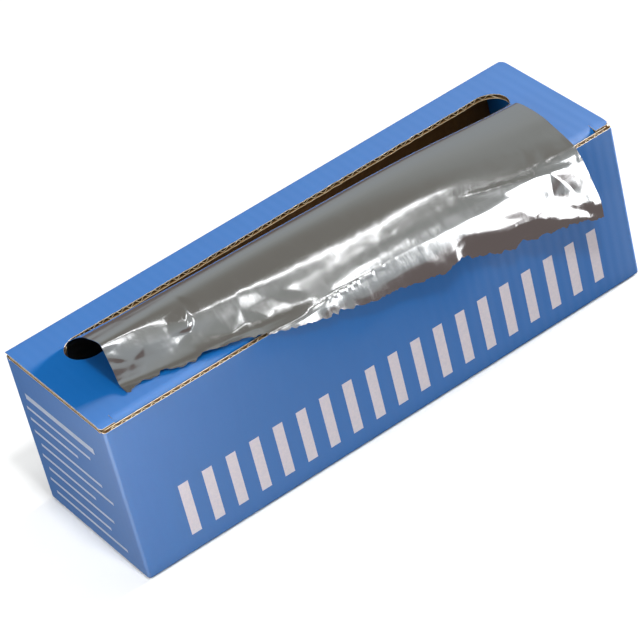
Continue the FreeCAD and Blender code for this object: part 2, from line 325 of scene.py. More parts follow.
@dataclass(frozen=True)
class Foil:
    """Rolled aluminium foil: bright metal with fine rolling lines along the draw.

    The lines are drawn coarser than real rolling lines.
    """

    name: str
    tone: str
    roughness: float
    line: float = 1.1
    crinkle: float = 9.0
    crinkle_depth: float = 0.05

    def material(self) -> bpy.types.Material:
        """Build the metal: rolling lines stretched along Y and a faint crinkle in the relief.

        Returns:
            The material.
        """
        material, tree = new_material(self.name)
        place = add_node(tree, "ShaderNodeTexCoord").outputs["Object"]
        drawn = add_node(tree, "ShaderNodeMapping", {"Vector": place, "Scale": (1.0, 0.04, 0.04)})
        lines = add_node(
            tree,
            "ShaderNodeTexNoise",
            {"Vector": drawn, "Scale": 1 / (self.line * MM), "Detail": 3.0, "Roughness": 0.6},
        )
        crinkles = add_node(
            tree,
            "ShaderNodeTexNoise",
            {"Vector": place, "Scale": 1 / (self.crinkle * MM), "Detail": 4.0, "Roughness": 0.55},
        )
        seen = {"Value": lines, "From Min": 0.3, "From Max": 0.7}
        least, most = self.roughness * 0.8, self.roughness * 1.25
        rough = add_node(tree, "ShaderNodeMapRange", seen | {"To Min": least, "To Max": most})
        relief = add_node(
            tree, "ShaderNodeMath", {0: lines, 1: 0.12, 2: crinkles}, operation="MULTIPLY_ADD"
        )
        surface = {"Base Color": colour(self.tone), "Metallic": 1.0, "Roughness": rough}
        finish_surface(tree, surface, relief, self.crinkle_depth)
        return material


# Meshes


class Pattern:
    """Points and faces of one piece, in millimetres, before they are sewn into a mesh."""

    # The most that a block's edges are eased.
    most_ease: float = 0.3

    def __init__(self) -> None:
        """Start with nothing."""
        self.points: list[Array] = []
        self.faces: list[list[int]] = []
        self.looks: list[int] = []
        self.count = 0

    def _add(self, points: Array) -> int:
        """Keep points.

        Args:
            points: Any array of points.

        Returns:
            The number of the first one.
        """
        first = self.count
        self.points.append(points.reshape(-1, 3))
        self.count += len(self.points[-1])
        return first

    def grid(
        self, points: Array, look: int | Array, ring: bool = False, flip: bool = False
    ) -> None:
        """Add a grid of quads.

        Args:
            points: Rows by columns by 3.
            look: One look for all quads, or one each, rows - 1 by columns.
            ring: Whether the last column joins the first.
            flip: Whether the quads face the other way.
        """
        rows, columns = points.shape[:2]
        first = self._add(points)
        numbers = first + np.arange(rows * columns).reshape(rows, columns)
        after = np.roll(numbers, -1, axis=1)
        wide = columns if ring else columns - 1
        quads = np.stack(
            [numbers[:-1, :wide], after[:-1, :wide], after[1:, :wide], numbers[1:, :wide]], axis=-1
        ).reshape(-1, 4)
        if flip:
            quads = quads[:, ::-1]
        self.faces.extend(quads.tolist())
        looks = np.broadcast_to(np.asarray(look), (rows - 1, wide)).reshape(-1)
        self.looks.extend(looks.astype(int).tolist())

    def polygon(self, points: Array, look: int) -> None:
        """Add one flat face.

        Args:
            points: Its corners in order.
            look: Its look.
        """
        first = self._add(points)
        self.faces.append(list(range(first, first + len(points))))
        self.looks.append(look)

    def block(self, low: tuple[float, ...], high: tuple[float, ...], look: int) -> None:
        """Add a board blank as a closed box with eased edges.

        Args:
            low: Its lowest corner.
            high: Its highest corner.
            look: Its look.
        """
        lo, hi = np.array(low), np.array(high)
        ease = min(self.most_ease, (hi - lo).min() / 4)
        rims = ((lo[2], ease), (lo[2] + ease, 0.0), (hi[2] - ease, 0.0), (hi[2], ease))
        loops = []
        for z, inset in rims:
            (x0, y0), (x1, y1) = (lo + inset)[:2], (hi - inset)[:2]
            loops.append([(x0, y0, z), (x1, y0, z), (x1, y1, z), (x0, y1, z)])
        points = np.array(loops)
        self.grid(points, look, ring=True)
        self.polygon(points[0], look)
        self.polygon(points[-1], look)

    def sew(
        self,
        name: str,
        finishes: list[bpy.types.Material],
        smooth: bool = False,
        outward: bool = True,
        weld: float = 0.004,
    ) -> bpy.types.Object:
        """Join everything into one object.

        Args:
            name: The piece's name.
            finishes: Its materials, in the order of the looks.
            smooth: Whether it is shaded smooth.
            outward: Whether closed shells get their normals recalculated.
            weld: How near two points are when they become one.

        Returns:
            The piece.
        """
        mesh = bpy.data.meshes.new(name)
        mesh.from_pydata((np.concatenate(self.points) * MM).tolist(), [], self.faces)
        mesh.polygons.foreach_set("material_index", self.looks)
        bm = bmesh.new()
        bm.from_mesh(mesh)
        bmesh.ops.remove_doubles(bm, verts=bm.verts, dist=weld * MM)
        bmesh.ops.dissolve_degenerate(bm, edges=bm.edges, dist=weld * MM / 4)
        if outward:
            bmesh.ops.recalc_face_normals(bm, faces=bm.faces)
        for face in bm.faces:
            face.smooth = smooth
        bm.to_mesh(mesh)
        bm.free()
        for finish in finishes:
            mesh.materials.append(finish)
        piece = bpy.data.objects.new(name, mesh)
        bpy.context.collection.objects.link(piece)
        return piece


def settle(piece: bpy.types.Object) -> bpy.types.Object:
    """Turn a piece's modifiers into plain mesh.

    Args:
        piece: The piece, with its modifiers.

    Returns:
        The same piece.
    """
    evaluated = piece.evaluated_get(bpy.context.evaluated_depsgraph_get())
    mesh = bpy.data.meshes.new_from_object(evaluated)
    piece.modifiers.clear()
    piece.data = mesh
    mesh.name = piece.name
    return piece


def soften(piece: bpy.types.Object, degrees: float = 35.0) -> None:
    """Shade a piece smooth but keep its sharp edges.

    Args:
        piece: The piece.
        degrees: The angle past which an edge stays sharp.
    """
    mesh = piece.data
    mesh.polygons.foreach_set("use_smooth", [True] * len(mesh.polygons))
    mesh.set_sharp_from_angle(angle=math.radians(degrees))


def spread(xs: list[float], values: Array, x: Array) -> Array:
    """Interpolate smoothly between stations.

    Args:
        xs: The stations, rising.
        values: One array for each station.
        x: Where to read.

    Returns:
        One array for each x.
    """
    xs = np.asarray(xs, float)
    values = np.asarray(values, float)
    shape = (-1,) + (1,) * (values.ndim - 1)
    steps = np.diff(xs).reshape(shape)
    slopes = np.diff(values, axis=0) / steps
    tangents = np.concatenate([slopes[:1], (slopes[1:] + slopes[:-1]) / 2, slopes[-1:]])
    i = np.clip(np.searchsorted(xs, x) - 1, 0, len(xs) - 2)
    h = (xs[i + 1] - xs[i]).reshape(shape)
    t = ((np.clip(x, xs[0], xs[-1]) - xs[i])).reshape(shape) / h
    return (
        (2 * t**3 - 3 * t**2 + 1) * values[i]
        + (t**3 - 2 * t**2 + t) * h * tangents[i]
        + (3 * t**2 - 2 * t**3) * values[i + 1]
        + (t**3 - t**2) * h * tangents[i + 1]
    )


def ramp(value: Array, low: float, high: float) -> Array:
    """Rise smoothly from 0 at low to 1 at high.

    Args:
        value: Where to read.
        low: Where it starts to rise.
        high: Where it ends.

    Returns:
        The share risen.
    """
    t = np.clip((np.asarray(value, float) - low) / (high - low), 0, 1)
    return t * t * (3 - 2 * t)


# Geometry Nodes


def new_tree(name: str, inputs: dict[str, str]) -> bpy.types.NodeTree:
    """Start a geometry tree with one geometry as its output.

    Args:
        name: The tree's name.
        inputs: The kind of each input, such as Float, by its name.

    Returns:
        The tree.
    """
    tree = bpy.data.node_groups.new(name, "GeometryNodeTree")
    for label, kind in inputs.items():
        tree.interface.new_socket(label, in_out="INPUT", socket_type=f"NodeSocket{kind}")
    tree.interface.new_socket("Result", in_out="OUTPUT", socket_type="NodeSocketGeometry")
    return tree


def flute_tree() -> bpy.types.NodeTree:
    """Make the tree that waves a flat ribbon into the board's fluted middle layer.

    Returns:
        The tree, with Pitch, Rise, Wall, Finish and Cut as inputs.
    """
    sizes = dict.fromkeys(("Pitch", "Rise", "Wall"), "Float")
    looks = dict.fromkeys(("Finish", "Cut"), "Material")
    tree = new_tree("flutes", {"Ribbon": "Geometry"} | sizes | looks)
    given = add_node(tree, "NodeGroupInput").outputs
    place = add_node(tree, "GeometryNodeInputPosition")
    along = add_node(tree, "ShaderNodeSeparateXYZ", {0: place})
    turns = add_node(tree, "ShaderNodeMath", {0: along, 1: given["Pitch"]}, operation="DIVIDE")
    angle = add_node(tree, "ShaderNodeMath", {0: turns, 1: 2 * math.pi}, operation="MULTIPLY")
    wave = add_node(tree, "ShaderNodeMath", {0: angle}, operation="SINE")
    height = add_node(tree, "ShaderNodeMath", {0: wave, 1: given["Rise"]}, operation="MULTIPLY")
    facing = add_node(tree, "GeometryNodeInputNormal")
    lift = add_node(tree, "ShaderNodeVectorMath", {0: facing, "Scale": height}, operation="SCALE")
    waved = add_node(
        tree, "GeometryNodeSetPosition", {"Geometry": given["Ribbon"], "Offset": lift}
    )
    upper = add_node(
        tree,
        "GeometryNodeExtrudeMesh",
        {"Mesh": waved, "Offset Scale": given["Wall"], "Individual": False},
        mode="FACES",
    ).outputs
    lower = add_node(tree, "GeometryNodeFlipFaces", {"Mesh": waved})
    both = add_node(tree, "GeometryNodeJoinGeometry", {0: lower})
    tree.links.new(upper["Mesh"], both.inputs[0])
    closed = add_node(
        tree, "GeometryNodeMergeByDistance", {"Geometry": both, "Distance": 0.002 * MM}
    )
    real = add_node(tree, "GeometryNodeRealizeInstances", {"Geometry": closed})
    dressed = add_node(
        tree, "GeometryNodeSetMaterial", {"Geometry": real, "Material": given["Finish"]}
    )
    trimmed = add_node(
        tree,
        "GeometryNodeSetMaterial",
        {"Geometry": dressed, "Selection": upper["Side"], "Material": given["Cut"]},
    )
    add_node(tree, "NodeGroupOutput", {0: trimmed})
    return tree


def turns_tree() -> bpy.types.NodeTree:
    """Make the tree that stacks the fine turns seen on the end of a winding.

    Returns:
        The tree, with Turns, Inner, Step, Face, Height, Depth, Stray and Finish as inputs.
    """
    sizes = dict.fromkeys(("Inner", "Step", "Face", "Height", "Depth", "Stray"), "Float")
    tree = new_tree(
        "winding_turns", {"Blank": "Geometry", "Turns": "Int"} | sizes | {"Finish": "Material"}
    )
    given = add_node(tree, "NodeGroupInput").outputs
    centre = add_node(tree, "ShaderNodeCombineXYZ", {"X": given["Face"], "Z": given["Height"]})
    line = add_node(
        tree,
        "GeometryNodeMeshLine",
        {"Count": given["Turns"], "Start Location": centre, "Offset": (0, 0, 0)},
    )
    stray = add_node(
        tree, "FunctionNodeRandomValue", {2: -1.0, 3: 1.0, "Seed": 5}, data_type="FLOAT"
    ).outputs[1]
    shift = add_node(tree, "ShaderNodeMath", {0: stray, 1: given["Stray"]}, operation="MULTIPLY")
    offset = add_node(tree, "ShaderNodeCombineXYZ", {"X": shift})
    loose = add_node(tree, "GeometryNodeSetPosition", {"Geometry": line, "Offset": offset})
    number = add_node(tree, "GeometryNodeInputIndex")
    radius = add_node(
        tree,
        "ShaderNodeMath",
        {0: number, 1: given["Step"], 2: given["Inner"]},
        operation="MULTIPLY_ADD",
    )
    circle = add_node(
        tree, "GeometryNodeCurvePrimitiveCircle", {"Resolution": 96, "Radius": 1.0}
    )
    upright = (0.0, math.pi / 2, 0.0)
    rings = add_node(
        tree,
        "GeometryNodeInstanceOnPoints",
        {"Points": loose, "Instance": circle, "Rotation": upright, "Scale": radius},
    )
    real = add_node(tree, "GeometryNodeRealizeInstances", {"Geometry": rings})
    wall = add_node(
        tree,
        "GeometryNodeCurvePrimitiveQuadrilateral",
        {"Width": given["Step"], "Height": given["Depth"]},
    )
    bands = add_node(tree, "GeometryNodeCurveToMesh", {"Curve": real, "Profile Curve": wall})
    dressed = add_node(
        tree, "GeometryNodeSetMaterial", {"Geometry": bands, "Material": given["Finish"]}
    )
    add_node(tree, "NodeGroupOutput", {0: dressed})
    return tree


def run_tree(
    piece: bpy.types.Object, tree: bpy.types.NodeTree, values: dict[str, object]
) -> bpy.types.Object:
    """Run a tree on a piece and keep the plain mesh.

    Args:
        piece: The piece that the tree starts from.
        tree: The tree.
        values: Its inputs by name.

    Returns:
        The piece, with the tree's mesh and no modifier.
    """
    modifier = piece.modifiers.new(tree.name, "NODES")
    modifier.node_group = tree
    sockets = {
        item.name: item.identifier
        for item in tree.interface.items_tree
        if item.item_type == "SOCKET" and item.in_out == "INPUT"
    }
    for name, value in values.items():
        modifier[sockets[name]] = value
    return settle(piece)


def wave(ribbon: Pattern, name: str, finishes: Finishes) -> bpy.types.Object:
    """Wave a flat ribbon into the board's fluted middle layer.

    Args:
        ribbon: The ribbon, laid along the middle of the board.
        name: The piece's name.
        finishes: All finishes.

    Returns:
        The piece.
    """
    values = {
        "Pitch": FLUTE_PITCH * MM,
        "Rise": (BOARD / 2 - LINER - FLUTE_PLAY) * MM,
        "Wall": FLUTE_WALL * MM,
        "Finish": finishes["fluting"],
        "Cut": finishes["cut"],
    }
    return run_tree(ribbon.sew(name, [], outward=False), flute_tree(), values)


# The carton


@dataclass
class Tray:
    """The carton's body: four walls, a floor and two hollow turned-over ends.

    The trough is how deep the walls are open between their liners. The strip is the part
    of an end's top that turns over, and inner_end is where it goes down inside. A line of
    the print is its lowest and highest z and its nearest and farthest y.
    """

    finishes: Finishes
    length: float = LENGTH
    depth: float = DEPTH
    front_height: float = 101.9
    height: float = 100.8
    board: float = BOARD
    liner: float = LINER
    corner: float = 2.0
    trough: float = 12.0
    strip_front: float = -40.4
    strip_back: float = 46.4
    inner_end: float = 153.5
    flap_reach: float = 40.0
    flap_drop: float = 8.0
    play: float = 0.1
    lip: tuple[float, float] = (0.12, 0.15)
    flute_half: float = 165.0
    flute_top: float = 0.35
    bar_width: float = 6.4
    bar_count: int = 19
    bar_reach: tuple[float, float] = (-139.0, 146.0)
    bar_heights: tuple[float, float] = (11.5, 46.0)
    lines: tuple[tuple[float, float, float, float], ...] = (
        (76.5, 80.5, -30.0, 40.0),
        (68.2, 70.2, -22.0, 43.0),
        (60.2, 62.2, -6.0, 43.0),
        (51.2, 53.2, -26.0, 43.0),
        (43.2, 45.2, -34.0, 40.0),
        (34.2, 36.2, -12.0, 43.0),
        (26.2, 28.2, -27.0, 40.0),
        (17.2, 19.2, -20.0, 43.0),
        (9.2, 11.2, -33.0, 40.0),
    )

    def bars(self) -> list[tuple[float, float]]:
        """Give each silver bar's left and right edge.

        Returns:
            The edges, from left to right.
        """
        first, last = self.bar_reach
        starts = np.linspace(first, last - self.bar_width, self.bar_count)
        return [(float(x), float(x) + self.bar_width) for x in starts]

    def stations(self) -> list[tuple]:
        """List the points round the wall, anticlockwise from the right end's front.

        Returns:
            For each its side, x and y as a sign or a place, a corner's angle, and its top.
        """
        low, high = self.strip_front, self.strip_back
        under = self.height - self.board
        step = self.board - self.depth / 2
        right = [
            (step, self.front_height),
            (step, self.height),
            (low, self.height),
            (low, under),
            (high, under),
            (high, self.height),
        ]
        ends = sorted({v for line in self.lines for v in line[2:]})
        left = [(high, self.height), (high, under)]
        left += [(y, under) for y in reversed(ends)]
        left += [(low, under), (low, self.height), (step, self.height), (step, self.front_height)]
        found = [("right", 1.0, y, 0.0, top) for y, top in right]
        found += self.arc(1, 1, 0, self.height)
        found += self.arc(-1, 1, 90, self.height)
        found += [("left", -1.0, y, 0.0, top) for y, top in left]
        found += self.arc(-1, -1, 180, self.front_height)
        edges = sorted({x for bar in self.bars() for x in bar})
        found += [("front", x, -1.0, 0.0, self.front_height) for x in edges]
        found += self.arc(1, -1, 270, self.front_height)
        return found

    def arc(self, sx: int, sy: int, start: float, top: float) -> list[tuple]:
        """Give the stations of one rounded corner, a quarter circle on from the start angle."""
        return [("corner", sx, sy, math.radians(start + turn), top) for turn in ARC]

    def loop(self, inset: float, height: float | None = None, below: float = 0.0) -> Array:
        """Place every station at one inset.

        Args:
            inset: How far inside the outer face.
            height: One height for all, or nothing for each station's top.
            below: How far below the top.

        Returns:
            The points.
        """
        hx, hy = self.length / 2, self.depth / 2
        points = []
        for side, a, b, angle, top in self.stations():
            z = top - below if height is None else height
            if side == "corner":
                r = max(self.corner, inset)
                swing = max(self.corner - inset, 0)
                x = a * (hx - r) + swing * math.cos(angle)
                y = b * (hy - r) + swing * math.sin(angle)
            elif side == "front":
                x, y = a, -(hy - inset)
            else:
                x, y = a * (hx - inset), min(max(b, inset - hy), hy - inset)
            points.append((x, y, z))
        return np.array(points)

    def look_of(self, low: float, high: float) -> list[int]:
        """Give the look of each outer quad between two heights.

        Args:
            low: The lower height.
            high: The upper one.

        Returns:
            One look for each station.
        """
        marks = self.stations()
        middle = (low + high) / 2
        looks = []
        for i, (side, a, b, _, _) in enumerate(marks):
            other = marks[(i + 1) % len(marks)]
            look = Face.PRINT
            if side == other[0] == "front" and self.bar_heights[0] < middle < self.bar_heights[1]:
                if any(x0 - 0.01 <= a and other[1] <= x1 + 0.01 for x0, x1 in self.bars()):
                    look = Face.SILVER
            if side == other[0] == "left":
                for z0, z1, y0, y1 in self.lines:
                    if z0 < middle < z1 and y0 <= min(b, other[2]) and max(b, other[2]) <= y1:
                        look = Face.WHITE
            looks.append(look)
        return looks

    def walls(self, pattern: Pattern) -> None:
        """Add the walls and the floor as one closed shell, open between its liners at the top.

        Args:
            pattern: Where they go.
        """
        turns = np.linspace(0, math.pi / 2, 5)
        outer = [(self.corner * (1 - math.sin(t)), self.corner * (1 - math.cos(t))) for t in turns]
        marks = sorted({z for line in self.lines for z in line[:2]} | set(self.bar_heights))
        outer += [(0.0, z) for z in marks]
        loops = [self.loop(inset, z) for inset, z in outer]
        looks = [self.look_of(a[1], b[1]) for a, b in zip(outer, outer[1:])]
        count = len(loops[0])
        rim = self.liner
        ease, drop = self.lip
        lips = (
            (0.0, drop, Face.PRINT),
            (ease, 0.0, Face.PRINT),
            (rim, 0.0, Face.CUT),
            (rim, self.trough, Face.KRAFT),
            (self.board - rim, self.trough, Face.KRAFT),
            (self.board - rim, 0.0, Face.KRAFT),
            (self.board, 0.0, Face.CUT),
        )
        for inset, below, look in lips:
            loops.append(self.loop(inset, None, below))
            looks.append([look] * count)
        loops.append(self.loop(self.board, self.board))
        looks.append([Face.KRAFT] * count)
        points = np.array(loops)
        pattern.grid(points, np.array(looks), ring=True)
        pattern.polygon(points[0], Face.PRINT)
        pattern.polygon(points[-1], Face.KRAFT)

    def end(self, pattern: Pattern, side: int) -> None:
        """Add one end's turned-over strip and inner panel.

        Args:
            pattern: Where they go.
            side: -1 for the left end, 1 for the right one.
        """
        face, top, board = self.length / 2, self.height, self.board
        turn, inner, foot = self.corner, self.inner_end, self.board + self.play / 2
        path = [(face, top - board)]
        for centre, start in ((face - turn, 0), (inner + turn, 90)):
            for a in (math.radians(start + turned) for turned in ARC):
                path.append((centre + turn * math.cos(a), top - turn + turn * math.sin(a)))
        path.append((inner, foot))
        looks = [Face.PRINT] * (len(path) - 1) + [Face.CUT, Face.KRAFT, Face.KRAFT, Face.CUT]
        path += [(inner + board, foot), (inner + board, top - board), (face - board, top - board)]
        x, z = np.array(path).T
        loops = [
            np.column_stack([side * x, np.full(len(x), y), z])
            for y in (self.strip_front, self.strip_back)
        ]
        pattern.grid(np.array(loops), np.array([looks]), ring=True)
        for loop in loops:
            pattern.polygon(loop, Face.CUT)

    def flaps(self, pattern: Pattern, side: int) -> None:
        """Add the corner flaps that stand in the hollow end.

        Args:
            pattern: Where they go.
            side: -1 for the left end, 1 for the right one.
        """
        wall = self.length / 2 - self.board - self.play
        near, far = sorted((side * (wall - self.board), side * wall))
        foot, top = self.board + self.play, self.height - self.flap_drop
        inner = self.depth / 2 - self.board
        close, reach = inner - self.play / 2, inner - self.flap_reach
        for y0, y1 in ((-close, -reach), (reach, close)):
            pattern.block((near, y0, foot), (far, y1, top), Face.KRAFT)

    def flutes(self) -> bpy.types.Object:
        """Make the waved middle layer that shows along the open top edges.

        Returns:
            The piece.
        """
        pattern = Pattern()
        x = np.arange(-self.flute_half, self.flute_half + 0.01, FLUTE_STEP)
        middle = self.depth / 2 - self.board / 2
        for sign, top in ((-1, self.front_height), (1, self.height)):
            rows = [
                np.column_stack([x, np.full(len(x), sign * middle), np.full(len(x), z)])
                for z in (top - self.trough + 0.5, top - self.flute_top)
            ]
            pattern.grid(np.array(rows), 0)
        return wave(pattern, "tray_flutes", self.finishes)

    def build(self) -> None:
        """Build the tray's pieces and fix them to the carton."""
        pattern = Pattern()
        self.walls(pattern)
        for side in (-1, 1):
            self.end(pattern, side)
            self.flaps(pattern, side)
        names = ("print", "kraft", "cut", "silver", "white")
        board = pattern.sew("tray_board", [self.finishes[n] for n in names])
        soften(board)
        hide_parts("carton_tray")
        flutes = self.flutes()
        for piece in (board, flutes):
            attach(piece, "carton")
            LOG.info("%s: %d faces", piece.name, len(piece.data.polygons))


@dataclass
class Lid:
    """The lid: two liners over a fluted middle, a long slot and a tuck flap bent down in front.

    The ears are its short front ends beside the tuck flap, which run on flat. The two
    corners are the rear ones' radii, left and right. Rag is how far a cut edge strays.
    """

    finishes: Finishes
    length: float = LENGTH
    rear: float = DEPTH / 2
    top: float = HEIGHT
    board: float = BOARD
    liner: float = LINER
    turn: float = 2.0
    bend_from: float = -41.2
    bend_reach: tuple[float, float] = (6.0, 5.0)
    lean: float = 7.5
    flap_bottom: float = 82.0
    flap_half: float = 160.5
    flap_ease: tuple[float, float] = (5.0, 4.0)
    notch: float = 0.25
    ear_ease: tuple[float, float] = (1.8, 1.3)
    ear_drop: float = 0.03
    slot_half: float = 149.0
    slot_middle: float = 18.55
    slot_radius: float = 11.75
    corners: tuple[float, float] = (1.2, 6.0)
    column_step: float = 2.0
    liner_rag: float = 0.16
    flute_rag: float = 0.35
    flute_inset: float = 0.3
    flute_margin: float = 0.4
    flute_from: float = 1.2
    flute_sink: float = 0.12
    path: Array = field(init=False)
    flat_at: float = field(init=False)
    bend_at: float = field(init=False)

    def __post_init__(self) -> None:
        """Measure the outer face's path from the hinge, over the top and down the tuck flap."""
        turn, back, under = self.turn, self.rear - self.turn, self.top - self.turn
        points = [(self.rear, self.top - self.board), (self.rear, under)]
        for k in range(1, 9):
            a = math.radians(90 * k / 8)
            points.append((back + turn * math.cos(a), under + turn * math.sin(a)))
        points.append((self.bend_from, self.top))
        reach, drop = self.bend_reach
        # The bend runs a little past the angle at which its slope is the flap's own lean.
        last = 90 + math.degrees(math.atan(drop / reach * math.tan(math.radians(self.lean)))) * 1.2
        fold = self.top - drop
        for a in np.radians(np.linspace(0, last, 15)[1:]):
            points.append((self.bend_from - reach * math.sin(a), fold + drop * math.cos(a)))
        y, z = points[-1]
        fall = z - self.flap_bottom
        points.append((y + fall * math.tan(math.radians(self.lean)), self.flap_bottom))
        line = np.array(points)
        steps = np.hypot(*np.diff(line, axis=0).T)
        walk = np.concatenate([[0], np.cumsum(steps)])
        forward = np.gradient(line, axis=0)
        forward /= np.linalg.norm(forward, axis=1, keepdims=True)
        outward = np.column_stack([forward[:, 1], -forward[:, 0]])
        self.path = np.column_stack([walk, line, outward])
        self.flat_at = float(walk[9])
        self.bend_at = float(walk[10])

    def surface(self, x: Array, s: Array, depth: float, flat: bool = False) -> Array:
        """Place points of the board.

        Args:
            x: Where along the carton.
            s: How far along the path from the hinge.
            depth: How far under the outer face.
            flat: Whether the board runs on flat past the bend.

        Returns:
            The points.
        """
        walk, y, z, ny, nz = self.path.T
        side = np.interp(s, walk, y) - depth * np.interp(s, walk, ny)
        up = np.interp(s, walk, z) - depth * np.interp(s, walk, nz)
        if flat:
            past = s - self.bend_at
            side = self.bend_from - past
            up = self.top - depth - self.ear_drop * past**2
        return np.stack([x, side, up], axis=-1)

    def at_y(self, y: Array) -> Array:
        """Turn a place on the flat top into a distance along the path."""
        return self.flat_at + (self.rear - self.turn) - np.asarray(y, float)

    def slot_edges(self, x: Array, ragged: float) -> tuple[Array, Array]:
        """Give the slot's two edges at each x, slightly ragged, as a knife leaves them.

        Args:
            x: Where along the carton.
            ragged: How far the edge strays.

        Returns:
            Its rear and its front edge, as distances along the path.
        """
        past = np.clip(np.abs(x) - (self.slot_half - self.slot_radius), 0, self.slot_radius)
        half = np.sqrt(np.maximum(self.slot_radius**2 - past**2, 0))
        rng = np.random.default_rng(11)
        knots = np.arange(-152, 153, 2.1)
        shake = np.interp(x, knots, rng.normal(0, ragged, len(knots)))
        shake_front = np.interp(x, knots, rng.normal(0, ragged * 0.5, len(knots)))
        inside = half > 0.5
        rear = self.at_y(self.slot_middle + half + shake * inside)
        front = self.at_y(self.slot_middle - half + shake_front * inside)
        return rear, front

    def columns(self, step: float) -> Array:
        """Choose where the board's columns stand.

        Args:
            step: Their spacing, finer where an outline is round.

        Returns:
            The places along the carton.
        """
        swing = np.sin(np.radians(np.linspace(0, 90, 15)))
        ends = (self.slot_half - self.slot_radius) + self.slot_radius * swing
        xs = [np.arange(-self.length / 2, self.length / 2 + 0.01, step), ends, -ends]
        quarter = np.sin(np.radians(np.linspace(0, 90, 8)))
        for sign, radius in zip((-1, 1), self.corners):
            xs.append(sign * (self.length / 2 - radius + radius * quarter))
            xs.append(sign * np.array([self.flap_half, self.flap_half + self.notch]))
        merged = np.unique(np.round(np.concatenate(xs), 3))
        return merged[np.concatenate([[True], np.diff(merged) > 0.02])]

    def rear_start(self, x: Array) -> Array:
        """Give where the board starts at each x: at the hinge, or on a rounded corner.

        Args:
            x: Where along the carton.

        Returns:
            Distances along the path.
        """
        start = np.zeros(len(x))
        for sign, radius in zip((-1, 1), self.corners):
            past = sign * x - (self.length / 2 - radius)
            on = past > 1e-6
            reach = np.sqrt(np.maximum(radius**2 - np.clip(past, 0, radius) ** 2, 0))
            y = self.rear - radius + reach
            start = np.where(on, np.maximum(self.at_y(y), self.path[1, 0]), start)
        return start

    def flap_end(self, x: Array) -> Array:
        """Give where the tuck flap ends at each x, its two corners eased.

        Args:
            x: Where along the carton.

        Returns:
            Distances along the path.
        """
        reach, rise = self.flap_ease
        return self.path[-1, 0] - rise * (1 - ramp(self.flap_half - np.abs(x), 0, reach))

    def sheet(self, pattern: Pattern, depth: float, start: float) -> None:
        """Add one layer of the board as an open surface.

        Args:
            pattern: Where it goes.
            depth: How far under the outer face.
            start: Where along the path the layer starts.
        """
        x = self.columns(self.column_step)
        rear, front = self.slot_edges(x, self.liner_rag)
        begin = np.maximum(self.rear_start(x), start)
        rows = [np.maximum(begin, s) for s in self.path[:10, 0]]
        flat = rows[-1]
        rows += [flat * (1 - t) + rear * t for t in np.linspace(0, 1, 9)[1:]]
        self.lay(pattern, x, np.array(rows), depth)
        rows = [front * (1 - t) + self.bend_at * t for t in np.linspace(0, 1, 10)]
        self.lay(pattern, x, np.array(rows), depth)
        inner = x[np.abs(x) <= self.flap_half + 1e-6]
        fold, last = self.path[-2:, 0]
        bend = np.concatenate(
            [np.linspace(self.bend_at, fold, 16), np.linspace(fold, last, 7)[1:]]
        )
        self.lay(pattern, inner, np.minimum(bend[:, None], self.flap_end(inner)[None, :]), depth)
        ear_from, ear_to = self.flap_half + self.notch, self.length / 2
        ease, cut = self.ear_ease
        steps = np.linspace(0, 1, 6)[:, None]
        for sign in (-1, 1):
            ear = x[sign * x >= ear_from - 1e-6]
            rounded = ramp(np.abs(ear), ear_to - ease, ear_to) ** 2
            reach = self.bend_reach[0] - cut * rounded
            self.lay(pattern, ear, self.bend_at + steps * reach[None, :], depth, flat=True)

    def lay(
        self, pattern: Pattern, x: Array, rows: Array, depth: float, flat: bool = False
    ) -> None:
        """Add one patch of the board, facing outward.

        Args:
            pattern: Where it goes.
            x: Its columns.
            rows: Distances along the path, rows by columns.
            depth: How far under the outer face.
            flat: Whether the board runs on flat past the bend.
        """
        points = self.surface(np.broadcast_to(x, rows.shape), rows, depth, flat)
        pattern.grid(points, 0, flip=True)

    def layer(
        self, name: str, depth: float, start: float, looks: tuple[str, str, str]
    ) -> bpy.types.Object:
        """Make one liner with its thickness.

        Args:
            name: The piece's name.
            depth: Its outer face under the board's.
            start: Where along the path it starts.
            looks: Finishes of its upper face, under face and rim.

        Returns:
            The piece.
        """
        pattern = Pattern()
        self.sheet(pattern, depth, start)
        piece = pattern.sew(name, [self.finishes[n] for n in looks], outward=False)
        wall = piece.modifiers.new("paper", "SOLIDIFY")
        wall.thickness = self.liner * MM
        wall.offset = -1
        wall.material_offset = 1
        wall.material_offset_rim = 2
        settle(piece)
        soften(piece, 40)
        return piece

    def flutes(self) -> bpy.types.Object:
        """Make the waved middle layer, cut by the slot and the lid's outline.

        Returns:
            The piece.
        """
        pattern = Pattern()
        inset, margin = self.flute_inset, self.flute_margin
        x = np.arange(-self.length / 2 + margin, self.length / 2 - margin + 0.01, FLUTE_STEP)
        rear, front = self.slot_edges(x, self.flute_rag)
        depth = self.board / 2 + self.flute_sink
        start = np.maximum(self.rear_start(x), self.flat_at + self.flute_from) + inset
        self.lay(pattern, x, np.array([start, rear - inset]), depth)
        self.lay(pattern, x, np.array([front + inset, np.full(len(x), self.bend_at)]), depth)
        inner = x[np.abs(x) < self.flap_half - margin / 2]
        s = np.linspace(self.bend_at, self.path[-1, 0] - margin, 12)
        last = self.flap_end(inner) - margin
        self.lay(pattern, inner, np.minimum(s[:, None], last[None, :]), depth)
        for sign in (-1, 1):
            ear = x[sign * x >= self.flap_half + self.notch + margin / 2]
            reach = (self.bend_reach[0] - 2 * inset) * np.linspace(0, 1, 3)
            rows = self.bend_at + reach[:, None] + np.zeros(len(ear))[None, :]
            self.lay(pattern, ear, rows, depth, flat=True)
        return wave(pattern, "lid_flutes", self.finishes)

